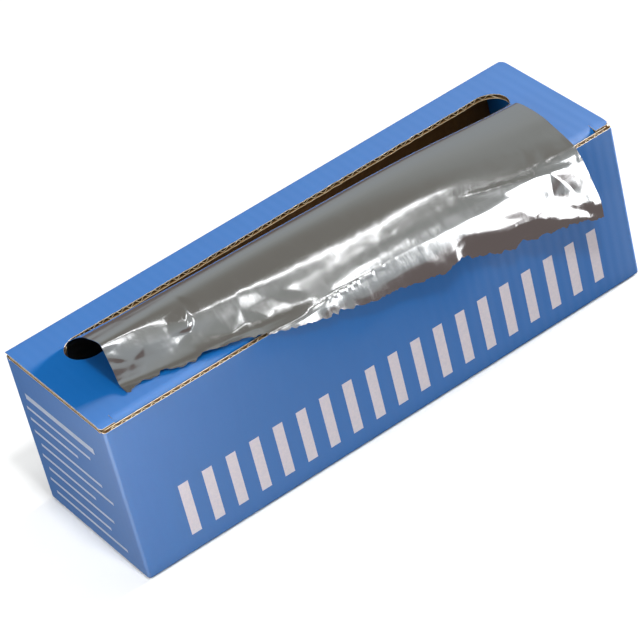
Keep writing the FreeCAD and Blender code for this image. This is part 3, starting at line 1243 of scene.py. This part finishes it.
    def build(self) -> None:
        """Build the lid's pieces and fix them to the lid's body."""
        outer = self.layer("lid_outer_liner", 0.0, 0.0, ("print", "kraft", "cut"))
        under, from_hinge = self.board - self.liner, self.flat_at + 1.0
        inner = self.layer("lid_inner_liner", under, from_hinge, ("kraft", "kraft", "cut"))
        flutes = self.flutes()
        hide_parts("carton_lid")
        for piece in (outer, inner, flutes):
            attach(piece, "lid")
            LOG.info("%s: %d faces", piece.name, len(piece.data.polygons))


@dataclass
class Roll:
    """The foil wound on its card tube."""

    finishes: Finishes
    half_width: float = FOIL_WIDTH / 2
    radius: float = 42.0
    axis_height: float = 45.3
    tube_radius: float = 19.0
    bore: float = 16.5
    tube_half: float = 150.0
    gap: float = 0.15
    # How far the winding's face lies in, and how far it waves and strays about that.
    face_inset: float = 0.12
    uneven: tuple[float, float] = (0.05, 0.01)
    end_inset: float = 0.9
    turn_step: float = 0.7
    turn_depth: float = 1.2
    turn_stray: float = 0.3
    seam_pitch: float = 92.0
    seam_width: float = 0.9
    seam_depth: float = 0.22
    # How far off the seam a point lies for each millimetre along the tube.
    seam_slant: float = 0.79
    rim_ease: float = 0.35

    def around(self, x: Array, radius: Array, angles: Array) -> Array:
        """Place rings about the roll's axis.

        Args:
            x: Where each ring stands, as a column.
            radius: The radius at every ring and angle.
            angles: The angles, as a row.

        Returns:
            The points, rings by angles by 3.
        """
        x, turn = np.broadcast_to(x, radius.shape), np.broadcast_to(angles, radius.shape)
        y, z = radius * np.cos(turn), self.axis_height + radius * np.sin(turn)
        return np.stack([x, y, z], axis=-1)

    def winding(self) -> bpy.types.Object:
        """Make the wound foil as a drum, a little uneven as soft foil is.

        Returns:
            The piece.
        """
        pattern = Pattern()
        angles = np.linspace(0, 2 * math.pi, 128, endpoint=False)
        inner = self.tube_radius + self.gap
        end = self.half_width - self.end_inset
        rng = np.random.default_rng(3)
        xs = np.concatenate([[-end + 0.001], np.linspace(-end, end, 60), [end - 0.001]])
        wave_height, stray = self.uneven
        wander = wave_height * np.sin(angles[None, :] * 3 + xs[:, None] * 0.03)
        radius = self.radius - self.face_inset + wander + rng.normal(0, stray, (len(xs), 1))
        radius = np.minimum(radius, self.radius)
        radius[0] = radius[-1] = inner
        loops = self.around(xs[:, None], radius, angles[None, :])
        hole = np.full((2, len(angles)), inner)
        bore = self.around(np.array([[end], [-end]]), hole, angles[None, :])
        pattern.grid(np.concatenate([loops, bore, loops[:1]]), 0, ring=True)
        drum = pattern.sew("winding", [self.finishes["foil"]])
        soften(drum, 50)
        return drum

    def end_turns(self, side: int) -> bpy.types.Object:
        """Make the fine, slightly stray turns on one end of the winding.

        Args:
            side: -1 for the left end, 1 for the right one.

        Returns:
            The piece.
        """
        blank = Pattern()
        blank.polygon(np.array([[0, 0, 0], [1, 0, 0], [0, 1, 0]], float), 0)
        piece = blank.sew("turns_left" if side < 0 else "turns_right", [], outward=False)
        inner = self.tube_radius + self.gap + self.turn_step / 2
        count = int((self.radius - self.gap - inner) / self.turn_step)
        values = {
            "Turns": count,
            "Inner": inner * MM,
            "Step": self.turn_step * MM,
            "Face": side * (self.half_width - self.turn_depth / 2 - self.turn_stray) * MM,
            "Height": self.axis_height * MM,
            "Depth": self.turn_depth * MM,
            "Stray": self.turn_stray * MM,
            "Finish": self.finishes["foil_edge"],
        }
        return run_tree(piece, turns_tree(), values)

    def tube(self) -> bpy.types.Object:
        """Make the card tube, with the groove of its spiral seam and eased rims.

        Returns:
            The piece.
        """
        pattern = Pattern()
        angles = np.linspace(0, 2 * math.pi, 96, endpoint=False)
        half = self.tube_half
        body = np.linspace(-half + 2, half - 2, 150)
        xs = np.concatenate([[-half, -half + 0.5], body, [half - 0.5, half]])
        ease = np.where(np.abs(xs) > half - 0.2, self.rim_ease, 0.0)[:, None]
        phase = (xs[:, None] / self.seam_pitch - angles[None, :] / (2 * math.pi)) % 1.0
        off = np.minimum(phase, 1 - phase) * self.seam_pitch * self.seam_slant
        cut = ease + self.seam_depth * np.exp(-((off / self.seam_width) ** 2))
        outer = self.around(xs[:, None], self.tube_radius - cut, angles[None, :])
        inner = self.around(xs[::-1, None], self.bore + cut[::-1], angles[None, :])
        pattern.grid(np.concatenate([outer, inner, outer[:1]]), 0, ring=True)
        piece = pattern.sew("card_tube", [self.finishes["card"]])
        soften(piece, 50)
        return piece

    def build(self) -> None:
        """Build the winding and its tube in the carton."""
        drum = self.winding()
        tube = self.tube()
        ends = [self.end_turns(-1), self.end_turns(1)]
        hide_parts("foil_roll")
        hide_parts("core_tube")
        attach(tube, "carton")
        LOG.info("%s: %d faces", tube.name, len(tube.data.polygons))
        for piece in (drum, *ends):
            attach(piece, "carton")
            LOG.info("%s: %d faces", piece.name, len(piece.data.polygons))


@dataclass
class DrawnFoil:
    """The length of foil drawn up through the slot, over the lid and down the front."""

    finishes: Finishes
    half_width: float = FOIL_WIDTH / 2
    thickness: float = 0.15
    columns: int = 321
    rows: int = 131
    # The sheet's path at five stations across it, y and z from the roll to past the torn edge.
    stations: tuple[float, ...] = (-144.0, -70.0, 0.0, 70.0, 144.0)
    profiles: tuple[tuple[tuple[float, float], ...], ...] = (
        (
            (41.8, 51.9), (40.7, 58.0), (34.0, 80.0), (27.4, 103.0), (19.0, 111.6), (3.5, 121.9),
            (-7.6, 126.0), (-17.4, 127.9), (-20.5, 123.0), (-24.0, 115.5), (-25.5, 109.7),
            (-28.0, 105.4), (-38.0, 104.5), (-50.5, 103.4), (-56.0, 92.0),
        ),
        (
            (41.8, 51.9), (38.5, 63.2), (28.0, 83.0), (17.0, 103.0), (11.0, 112.0), (4.0, 119.6),
            (-5.0, 124.5), (-15.0, 126.0), (-27.0, 121.0), (-36.0, 112.0), (-43.0, 105.8),
            (-47.0, 104.8), (-51.2, 103.6), (-55.0, 97.0), (-58.0, 85.0),
        ),
        (
            (41.8, 51.9), (38.2, 63.8), (27.0, 83.0), (14.5, 103.0), (9.0, 111.5), (3.0, 118.2),
            (-6.0, 123.0), (-17.0, 124.5), (-30.0, 119.6), (-40.5, 111.8), (-48.0, 104.9),
            (-51.5, 100.0), (-54.6, 95.0), (-57.8, 88.0), (-60.0, 75.0),
        ),
        (
            (41.8, 51.9), (38.0, 64.2), (26.0, 83.0), (12.0, 103.0), (6.5, 110.5), (2.5, 115.9),
            (-6.0, 119.5), (-18.0, 120.5), (-32.0, 117.0), (-44.0, 109.0), (-51.0, 102.8),
            (-54.5, 98.0), (-57.0, 92.0), (-60.0, 79.0), (-61.0, 62.0),
        ),
        (
            (41.8, 51.9), (38.0, 64.2), (25.5, 83.0), (11.5, 102.5), (7.9, 106.2), (-1.1, 110.8),
            (-11.7, 111.9), (-24.1, 111.2), (-34.7, 108.2), (-45.9, 104.9), (-51.0, 101.9),
            (-55.1, 95.7), (-60.0, 84.1), (-64.5, 73.1), (-65.3, 58.0),
        ),
    )
    # The torn edge: x and y where it lies on the lid, x and z where it hangs in front.
    torn_on_lid: tuple[tuple[float, float], ...] = (
        (-148.0, -34.1), (-133.0, -33.4), (-118.0, -35.8), (-107.5, -40.5), (-98.4, -40.0),
        (-85.0, -45.0), (-70.4, -49.8), (-62.0, -52.0),
    )
    torn_in_front: tuple[tuple[float, float], ...] = (
        (-66.0, 102.6), (-58.0, 102.0), (-40.0, 97.0), (-23.0, 94.5), (-6.0, 90.0), (19.0, 87.0),
        (42.0, 82.5), (54.0, 86.0), (64.0, 79.0), (85.0, 70.7), (117.0, 70.0), (147.0, 63.0),
    )
    hangs_from: float = -65.0
    # How many kinks the tear has and how far each strays, for its long and its fine ones.
    rip: tuple[tuple[int, float], ...] = ((130, 0.9), (300, 0.35))
    # Usual size and seed of the random facets: coarse, middle, fine, and the creased patches.
    facets: tuple[tuple[float, int], ...] = ((24.0, 1), (10.0, 2), (4.5, 4), (45.0, 6))
    # Over which shares of its length the sheet starts to dent, hangs loose and nears its
    # torn edge, and over which x its right corner starts.
    dented_over: tuple[float, float] = (0.30, 0.45)
    loose_over: tuple[float, float] = (0.60, 0.78)
    torn_over: tuple[float, float] = (0.86, 1.0)
    corner_over: tuple[float, float] = (85.0, 130.0)
    # How high the coarse, middle and fine facets stand in each of these zones.
    dented_heights: tuple[float, float, float] = (0.05, 0.0, 0.0)
    loose_heights: tuple[float, float, float] = (0.10, 0.08, 0.05)
    torn_heights: tuple[float, float, float] = (0.0, 0.10, 0.07)
    corner_heights: tuple[float, float, float] = (0.25, 0.25, 0.10)
    least_crumpled: float = 0.15
    # Creases read off the photograph: x, share of the drawn length and height.
    creases: tuple[tuple[float, float, float], ...] = (
        (-152.0, 0.700, 0.0), (-125.0, 0.690, 0.0), (-95.0, 0.690, 0.0), (-62.0, 0.720, 0.0),
        (-30.0, 0.760, 0.0), (5.0, 0.800, 0.0), (25.0, 0.870, 0.0), (0.0, 0.960, 0.0),
        (-28.0, 1.020, 0.0), (-150.0, 0.769, 0.3), (-143.0, 0.769, 0.3), (-115.0, 0.777, 0.4),
        (-106.0, 0.800, 0.1), (-93.0, 0.775, -0.3), (-86.0, 0.810, 0.1), (-60.0, 0.800, 0.0),
        (-152.0, 0.820, 0.4), (-144.0, 0.823, 0.4), (-123.0, 0.869, 0.6), (-109.0, 0.862, 0.5),
        (-98.0, 0.877, 1.2), (-83.0, 0.869, 0.5), (-69.0, 0.862, 0.4), (-36.0, 0.869, 0.3),
        (-1.0, 0.869, 0.2), (-99.0, 0.896, -0.2), (-94.0, 0.860, 0.3), (-140.0, 0.872, -0.4),
        (-133.0, 0.898, 0.3), (-126.0, 0.912, -0.5), (-118.0, 0.930, 0.1), (-108.0, 0.915, -0.3),
        (-102.0, 0.950, 0.3), (-91.0, 0.925, -0.2), (-80.0, 0.950, 0.3), (-70.0, 0.920, -0.1),
        (-56.0, 0.940, 0.2), (-44.0, 0.915, -0.1), (-20.0, 0.930, 0.1), (-152.0, 1.020, 0.0),
        (-141.0, 0.975, 0.1), (-130.0, 1.020, 0.0), (-116.0, 1.020, 0.3), (-104.0, 1.020, 0.1),
        (-94.0, 1.020, 1.4), (-84.0, 1.020, 2.0), (-75.0, 1.020, 1.2), (-62.0, 1.020, 0.2),
        (60.0, 0.780, 0.0), (90.0, 0.800, 0.0), (96.0, 0.860, 0.7), (110.0, 0.830, -0.2),
        (122.0, 0.800, 0.9), (128.0, 0.845, -0.5), (136.0, 0.820, 0.6), (150.0, 0.790, 0.0),
        (118.0, 0.880, 0.8), (132.0, 0.890, -0.4), (144.0, 0.880, 0.7), (124.0, 0.930, -0.3),
        (140.0, 0.940, 0.6), (150.0, 1.020, 0.0), (104.0, 0.920, 0.5), (60.0, 0.860, 0.0),
    )
    # Where the torn edge curls under: from x, to x, the share where it starts, its depth.
    curls: tuple[tuple[float, ...], ...] = (
        (-40.0, 34.0, 0.930, 1.4),
        (60.0, 108.0, 0.905, 5.2),
    )
    curl_ease: float = 9.0
    curl_power: float = 1.6
    # The last lip's height, as a share of the curl's depth, and the share where it starts.
    curl_lip: tuple[float, float] = (0.16, 0.985)
    # What the sheet may not touch: the lid's top up to its bend, then the front panel.
    lid_top: float = HEIGHT + 0.25
    lid_bend: float = -47.5
    lid_fall: float = 0.6
    front_top: float = 102.2
    front_face: float = -DEPTH / 2 - 0.4

    def polyline(self, controls: Array, samples: int = 420) -> Array:
        """Draw a smooth line through each column's control points.

        Args:
            controls: Columns by control points by 2.
            samples: How many points each line gets.

        Returns:
            The lines, columns by samples by 2.
        """
        count = controls.shape[1]
        places = np.linspace(0, count - 1, samples)
        return spread(list(range(count)), controls.swapaxes(0, 1), places).swapaxes(0, 1)

    def faceted(self, place: Array, spots: Array, heights: Array) -> Array:
        """Read a field of flat facets that meet in creases between raised spots.

        Args:
            place: Points on the sheet, x and distance drawn.
            spots: The facets' corners, in the same terms.
            heights: How far each corner is raised.

        Returns:
            The height at each point, 0 outside the facets.
        """
        verts, _, faces, origins, _, _ = delaunay_2d_cdt(
            [Vector(p) for p in spots.tolist()], [], [], 0, 1e-6
        )
        raised = [Vector((v.x, v.y, heights[o[0]] if o else 0.0)) for v, o in zip(verts, origins)]
        tree = BVHTree.FromPolygons(raised, [list(f) for f in faces])
        down = Vector((0, 0, -1))
        out = np.zeros(len(place))
        for i, (a, b) in enumerate(place.tolist()):
            hit = tree.ray_cast(Vector((a, b, 5.0)), down)[0]
            out[i] = hit.z if hit is not None else 0.0
        return out

    def crumple(self, place: Array, spacing: float, seed: int) -> Array:
        """Read a field of random facets.

        Args:
            place: Points on the sheet, x and distance drawn.
            spacing: The facets' usual size.
            seed: Of the random corners.

        Returns:
            A height from about -1 to 1 for each point.
        """
        rng = np.random.default_rng(seed)
        low, high = place.min(axis=0) - spacing * 2, place.max(axis=0) + spacing * 2
        count = int(np.prod((high - low) / spacing))
        spots = rng.uniform(low, high, (count, 2))
        corners = [(low[0], low[1]), (high[0], low[1]), (high[0], high[1]), (low[0], high[1])]
        spots = np.concatenate([spots, corners])
        return self.faceted(place, spots, rng.uniform(-1, 1, len(spots)))

    def shape(self) -> tuple[Array, Array, Array]:
        """Lay out the smooth sheet, up to its torn edge.

        Returns:
            Its points, rows by columns by 3, how far along the sheet each lies, and the
            length drawn at each column.
        """
        x = np.linspace(-self.half_width, self.half_width, self.columns)
        lines = self.polyline(spread(list(self.stations), np.array(self.profiles), x))
        rng = np.random.default_rng(21)
        stray = np.zeros(self.columns)
        for kinks, reach in self.rip:
            stray += np.interp(x, np.linspace(-150, 150, kinks), rng.normal(0, reach, kinks))
        points = np.zeros((self.rows, self.columns, 3))
        along = np.zeros((self.rows, self.columns))
        drawn = np.zeros(self.columns)
        share = np.linspace(0, 1, self.rows)
        for i, line in enumerate(lines):
            walk = np.concatenate([[0], np.cumsum(np.hypot(*np.diff(line, axis=0).T))])
            past = np.arange(len(line)) > len(line) * 0.5
            hangs = x[i] >= self.hangs_from
            torn = np.array(self.torn_in_front if hangs else self.torn_on_lid)
            fallen = line[:, int(hangs)] <= np.interp(x[i], *torn.T)
            reached = np.nonzero(past & fallen)[0]
            drawn[i] = walk[reached[0]] if len(reached) else walk[-1]
            along[:, i] = share * drawn[i] + stray[i] * ramp(share, 0.93, 1.0)
            points[:, i, 0] = x[i]
            for axis in (0, 1):
                points[:, i, axis + 1] = np.interp(along[:, i], walk, line[:, axis])
        return points, along, drawn

    def curled(self, x: Array, share: Array, curl: tuple[float, ...]) -> Array:
        """Curl the torn edge in under the sheet, with its last lip turned out.

        Args:
            x: Where across the sheet.
            share: How far along it, from 0 to 1.
            curl: From x, to x, the share where it starts and how deep it goes.

        Returns:
            The height that it adds.
        """
        left, right, start, depth = curl
        ease = self.curl_ease
        there = ramp(x, left - ease, left + ease) * (1 - ramp(x, right - ease, right + ease))
        t = np.clip((share - start) / (1 - start), 0, 1)
        rise, lip_from = self.curl_lip
        lip = rise * depth * ramp(share, lip_from, 1.0)
        return there * (lip - depth * t**self.curl_power)

    def crease(self, points: Array, along: Array, drawn: Array) -> Array:
        """Move the sheet's points along its normals into creases and dents.

        Args:
            points: The smooth sheet.
            along: How far along it each point lies.
            drawn: The length drawn at each column.

        Returns:
            The creased sheet.
        """
        rows, columns = points.shape[:2]
        x = points[:, :, 0]
        share = along / drawn[None, :]
        across = np.gradient(points, axis=1)
        forward = np.gradient(points, axis=0)
        normals = np.cross(across, forward)
        normals /= np.linalg.norm(normals, axis=2, keepdims=True)
        normals *= np.sign(normals[rows // 2, columns // 2, 2])
        place = np.column_stack([x.reshape(-1), along.reshape(-1)])
        coarse, middle, fine, patches = (
            self.crumple(place, size, seed).reshape(rows, columns) for size, seed in self.facets
        )
        patchy = self.least_crumpled + (1 - self.least_crumpled) * (0.5 + 0.5 * patches)
        loose = ramp(share, *self.loose_over)
        zones = (
            (ramp(share, *self.dented_over), self.dented_heights),
            (loose * patchy, self.loose_heights),
            (loose * ramp(x, *self.corner_over), self.corner_heights),
            (ramp(share, *self.torn_over), self.torn_heights),
        )
        lift = np.zeros(x.shape)
        for zone, (high, mid, low) in zones:
            lift += zone * (high * coarse + mid * middle + low * fine)
        across_at, share_at, height = np.array(self.creases).T
        spots = np.column_stack([across_at, share_at * np.interp(across_at, x[0], drawn)])
        lift += self.faceted(place, spots, height).reshape(rows, columns)
        for curl in self.curls:
            lift += self.curled(x, share, curl)
        return points + normals * lift[:, :, None]

    def clear(self, points: Array) -> Array:
        """Keep the sheet's outer part off the lid, its bend and the front panel.

        Args:
            points: The creased sheet.

        Returns:
            The sheet, moved out where it would touch.
        """
        out = points.copy()
        late = np.arange(self.rows)[:, None] > self.rows * 0.45
        y, z = out[:, :, 1], out[:, :, 2]
        over = late & (y > self.front_face)
        floor = self.lid_top - np.maximum(self.lid_bend - y, 0) * self.lid_fall
        z[over] = np.maximum(z[over], floor[over])
        front = late & (z < self.front_top)
        y[front] = np.minimum(y[front], self.front_face)
        return out

    def build(self) -> None:
        """Build the drawn sheet, thicken it and hang it between roll and lid."""
        points, along, drawn = self.shape()
        points = self.clear(self.crease(points, along, drawn))
        pattern = Pattern()
        pattern.grid(points, 0, flip=True)
        sheet = pattern.sew("drawn_foil", [self.finishes["foil"]], outward=False)
        wall = sheet.modifiers.new("gauge", "SOLIDIFY")
        wall.thickness = self.thickness * MM
        wall.offset = 0
        settle(sheet)
        soften(sheet, 60)
        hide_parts("foil_sheet")
        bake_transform(sheet)


@dataclass
class Studio:
    """The pale floor in millimetres, and the soft lights and the camera in metres."""

    eye: tuple[float, float, float] = (-0.68885, -1.35155, 1.17641)
    gaze: tuple[float, float, float] = (0.36095, 0.71653, -0.59691)
    roll: float = -14.570
    lens: float = 193.44
    aim_height: float = 0.09
    floor_reach: float = 4000.0
    floor_drop: float = 0.2

    def camera(self) -> None:
        """Place the camera at the photograph's angle."""
        data = bpy.data.cameras.new("camera")
        data.lens = self.lens
        data.sensor_width = 36
        data.clip_start, data.clip_end = 0.05, 30
        look = Vector(self.gaze).normalized()
        flat_right = look.cross(Vector((0, 0, 1))).normalized()
        flat_up = flat_right.cross(look)
        turn = math.radians(self.roll)
        right = math.cos(turn) * flat_right + math.sin(turn) * flat_up
        up = (-look).cross(right)
        eye = bpy.data.objects.new("camera", data)
        facing = Matrix((right, up, -look)).transposed().to_4x4()
        eye.matrix_world = Matrix.Translation(Vector(self.eye)) @ facing
        bpy.context.collection.objects.link(eye)
        bpy.context.scene.camera = eye

    def lamp(
        self,
        name: str,
        azimuth: float,
        elevation: float,
        away: float,
        size: tuple[float, float],
        watts: float,
        gives: Gives = Gives.BOTH,
        turn: float = 0.0,
        only: tuple[str, ...] = (),
    ) -> None:
        """Hang a soft rectangular lamp that faces the object.

        Args:
            name: The lamp's name.
            azimuth: Degrees from +X toward +Y.
            elevation: Degrees above the floor.
            away: Metres from the object.
            size: Width and height in metres.
            watts: Its power.
            gives: Whether it lights, is mirrored, or both.
            turn: Degrees it is turned in its own plane.
            only: The pieces it reaches, or none named for all of them.
        """
        data = bpy.data.lights.new(name, "AREA")
        data.shape = "RECTANGLE"
        data.size, data.size_y = size
        data.energy = watts
        a, e = math.radians(azimuth), math.radians(elevation)
        way = Vector((math.cos(a) * math.cos(e), math.sin(a) * math.cos(e), math.sin(e)))
        light = bpy.data.objects.new(name, data)
        light.location = Vector((0, 0, self.aim_height)) + way * away
        light.rotation_mode = "QUATERNION"
        turned = Quaternion((0, 0, 1), math.radians(turn))
        light.rotation_quaternion = way.to_track_quat("Z", "Y") @ turned
        light.visible_camera = False
        light.visible_glossy = gives is not Gives.LIGHT
        light.visible_diffuse = gives is not Gives.MIRRORED
        bpy.context.collection.objects.link(light)
        if only:
            reached = bpy.data.collections.new(f"reached by {name}")
            for piece in only:
                reached.objects.link(bpy.data.objects[piece])
            light.light_linking.receiver_collection = reached

    def world(self) -> None:
        """Surround the set with a soft sky, grey at the horizon and darker above."""
        world = bpy.data.worlds.new("studio")
        world.use_nodes = True
        tree = world.node_tree
        tree.nodes.clear()
        way = add_node(tree, "ShaderNodeTexCoord").outputs["Generated"]
        up = add_node(tree, "ShaderNodeSeparateXYZ", {0: way}).outputs[2]
        sky = add_node(tree, "ShaderNodeValToRGB", {0: up})
        tones = sky.color_ramp
        stops = (
            (0.0, (0.150, 0.122, 0.115)),
            (0.03, (0.29, 0.30, 0.30)),
            (0.30, (0.31, 0.33, 0.335)),
            (0.62, (0.30, 0.31, 0.30)),
            (0.80, (0.25, 0.255, 0.24)),
            (0.90, (0.20, 0.19, 0.17)),
            (1.0, (0.175, 0.165, 0.145)),
        )
        while len(tones.elements) < len(stops):
            tones.elements.new(1.0)
        for stop, (place, tone) in zip(tones.elements, stops):
            stop.position = place
            stop.color = (*tone, 1.0)
        back = add_node(tree, "ShaderNodeBackground", {"Color": sky, "Strength": 1.0})
        add_node(tree, "ShaderNodeOutputWorld", {0: back})
        bpy.context.scene.world = world

    def floor(self) -> None:
        """Lay the pale floor, just under the carton and unseen by the foil."""
        pattern = Pattern()
        far, low = self.floor_reach, -self.floor_drop
        rows = [[(-far, y, low), (far, y, low)] for y in (-far, far)]
        pattern.grid(np.array(rows), 0)
        white = Speckled("white studio floor", "#FCFCFC", "#FFFFFF", 40.0, 0.9).material()
        floor = pattern.sew("floor", [white], outward=False)
        floor.visible_glossy = False
        floor.visible_diffuse = False

    def build(self) -> None:
        """Set the stage."""
        self.floor()
        self.world()
        board = ("tray_board", "lid_outer_liner")
        # A low key from the right end, and its gleam along the printed board alone.
        self.lamp("key", 0, 14, 3.0, (0.5, 0.5), 112)
        self.lamp("key_gloss", -6, 14, 3.0, (0.5, 0.5), 1750, Gives.MIRRORED, only=board)
        # Dim fills for the shaded sides, and a gleam on the front panel's left part.
        self.lamp("top_fill", 60, 82, 2.0, (1.5, 1.5), 8, Gives.LIGHT)
        self.lamp("front_top", -95, 64, 2.6, (0.3, 0.3), 30, Gives.LIGHT)
        self.lamp("front_fill", -100, 4, 1.6, (0.8, 0.5), 9, Gives.LIGHT)
        self.lamp("left_fill", -172, 16, 0.65, (0.3, 0.3), 1.3, Gives.LIGHT)
        self.lamp("left_gloss", -149, 0, 0.40, (0.32, 0.08), 14, Gives.MIRRORED, only=board)
        # Cards that only the foil mirrors: its bright band, ridge line and right corner.
        self.lamp("ridge_strip", -72, 34, 1.7, (0.16, 0.95), 1.1, Gives.MIRRORED, -30)
        self.lamp("ridge_line", -50, 58, 1.7, (0.6, 0.05), 0.4, Gives.MIRRORED)
        self.lamp("right_card", -57, 11, 0.62, (0.18, 0.36), 0.45, Gives.MIRRORED)
        self.lamp("right_low", -49, -11, 0.388, (0.10, 0.08), 0.045, Gives.MIRRORED)
        self.camera()
        bpy.context.scene.view_settings.view_transform = "Standard"


def make_finishes() -> Finishes:
    """Make every finish once.

    Returns:
        The materials by their short names.
    """
    inked = {"harshness": 0.7, "shown": (0.35, 0.75), "most": 0.22, "strength": 0.6, "depth": 0.05}
    torn = {"harshness": 0.7, "shown": (0.45, 0.7), "strength": 0.8, "depth": 0.2}
    finishes = {
        # Blue flexo print on kraft liner: flat, slightly satin, with faint flute lines.
        "print": Liner(
            "blue printed kraft liner", "#0262AE", "#0A6AB8", 0.75, 0.25, wave_depth=0.014
        ),
        # Bare kraft liner inside: warm brown and matt.
        "kraft": Liner("brown kraft liner", "#8A6238", "#A57C4C", 0.8, 0.3),
        # Recycled fluting paper: a duller brown, darkened further as painted shade so the flute
        # hollows along cut edges read dark.
        "fluting": Speckled("fluting paper", "#6E5030", "#4E3820", 2.0, 0.9),
        # Knife-cut board: pale torn fibres with darker specks between.
        "cut": Speckled("cut kraft edge", "#F4E2BE", "#C49C60", 1.6, 0.85, **torn),
        # Silver ink: pale with a soft metallic lift.
        "silver": Speckled("silver flexo ink", "#E2DBE1", "#8FA3C8", 1.5, 0.42, 0.2, **inked),
        # White ink: matt and slightly see-through over the blue.
        "white": Speckled("white flexo ink", "#C4D2E8", "#8FA3C8", 1.5, 0.45, **inked),
        # Household foil, bright side: mirror-like along the bends with fine rolling lines.
        "foil": Foil("bright rolled aluminium foil", "#E3E4E6", 0.15),
        # The fine turns on the winding's ends: duller metal.
        "foil_edge": Foil("edge-on aluminium foil", "#C9CACC", 0.45),
        # Grey-brown spiral-wound card.
        "card": Speckled("spiral-wound core card", "#A38866", "#8C7253", 2.5, 0.85),
    }
    return {short: finish.material() for short, finish in finishes.items()}


def main() -> None:
    """Build every piece in order and write how large the dressed part is."""
    logging.basicConfig(level=logging.INFO, format="%(message)s")
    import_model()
    finishes = make_finishes()
    Tray(finishes).build()
    Lid(finishes).build()
    Roll(finishes).build()
    DrawnFoil(finishes).build()
    Studio().build()


if __name__ == "__main__":
    main()
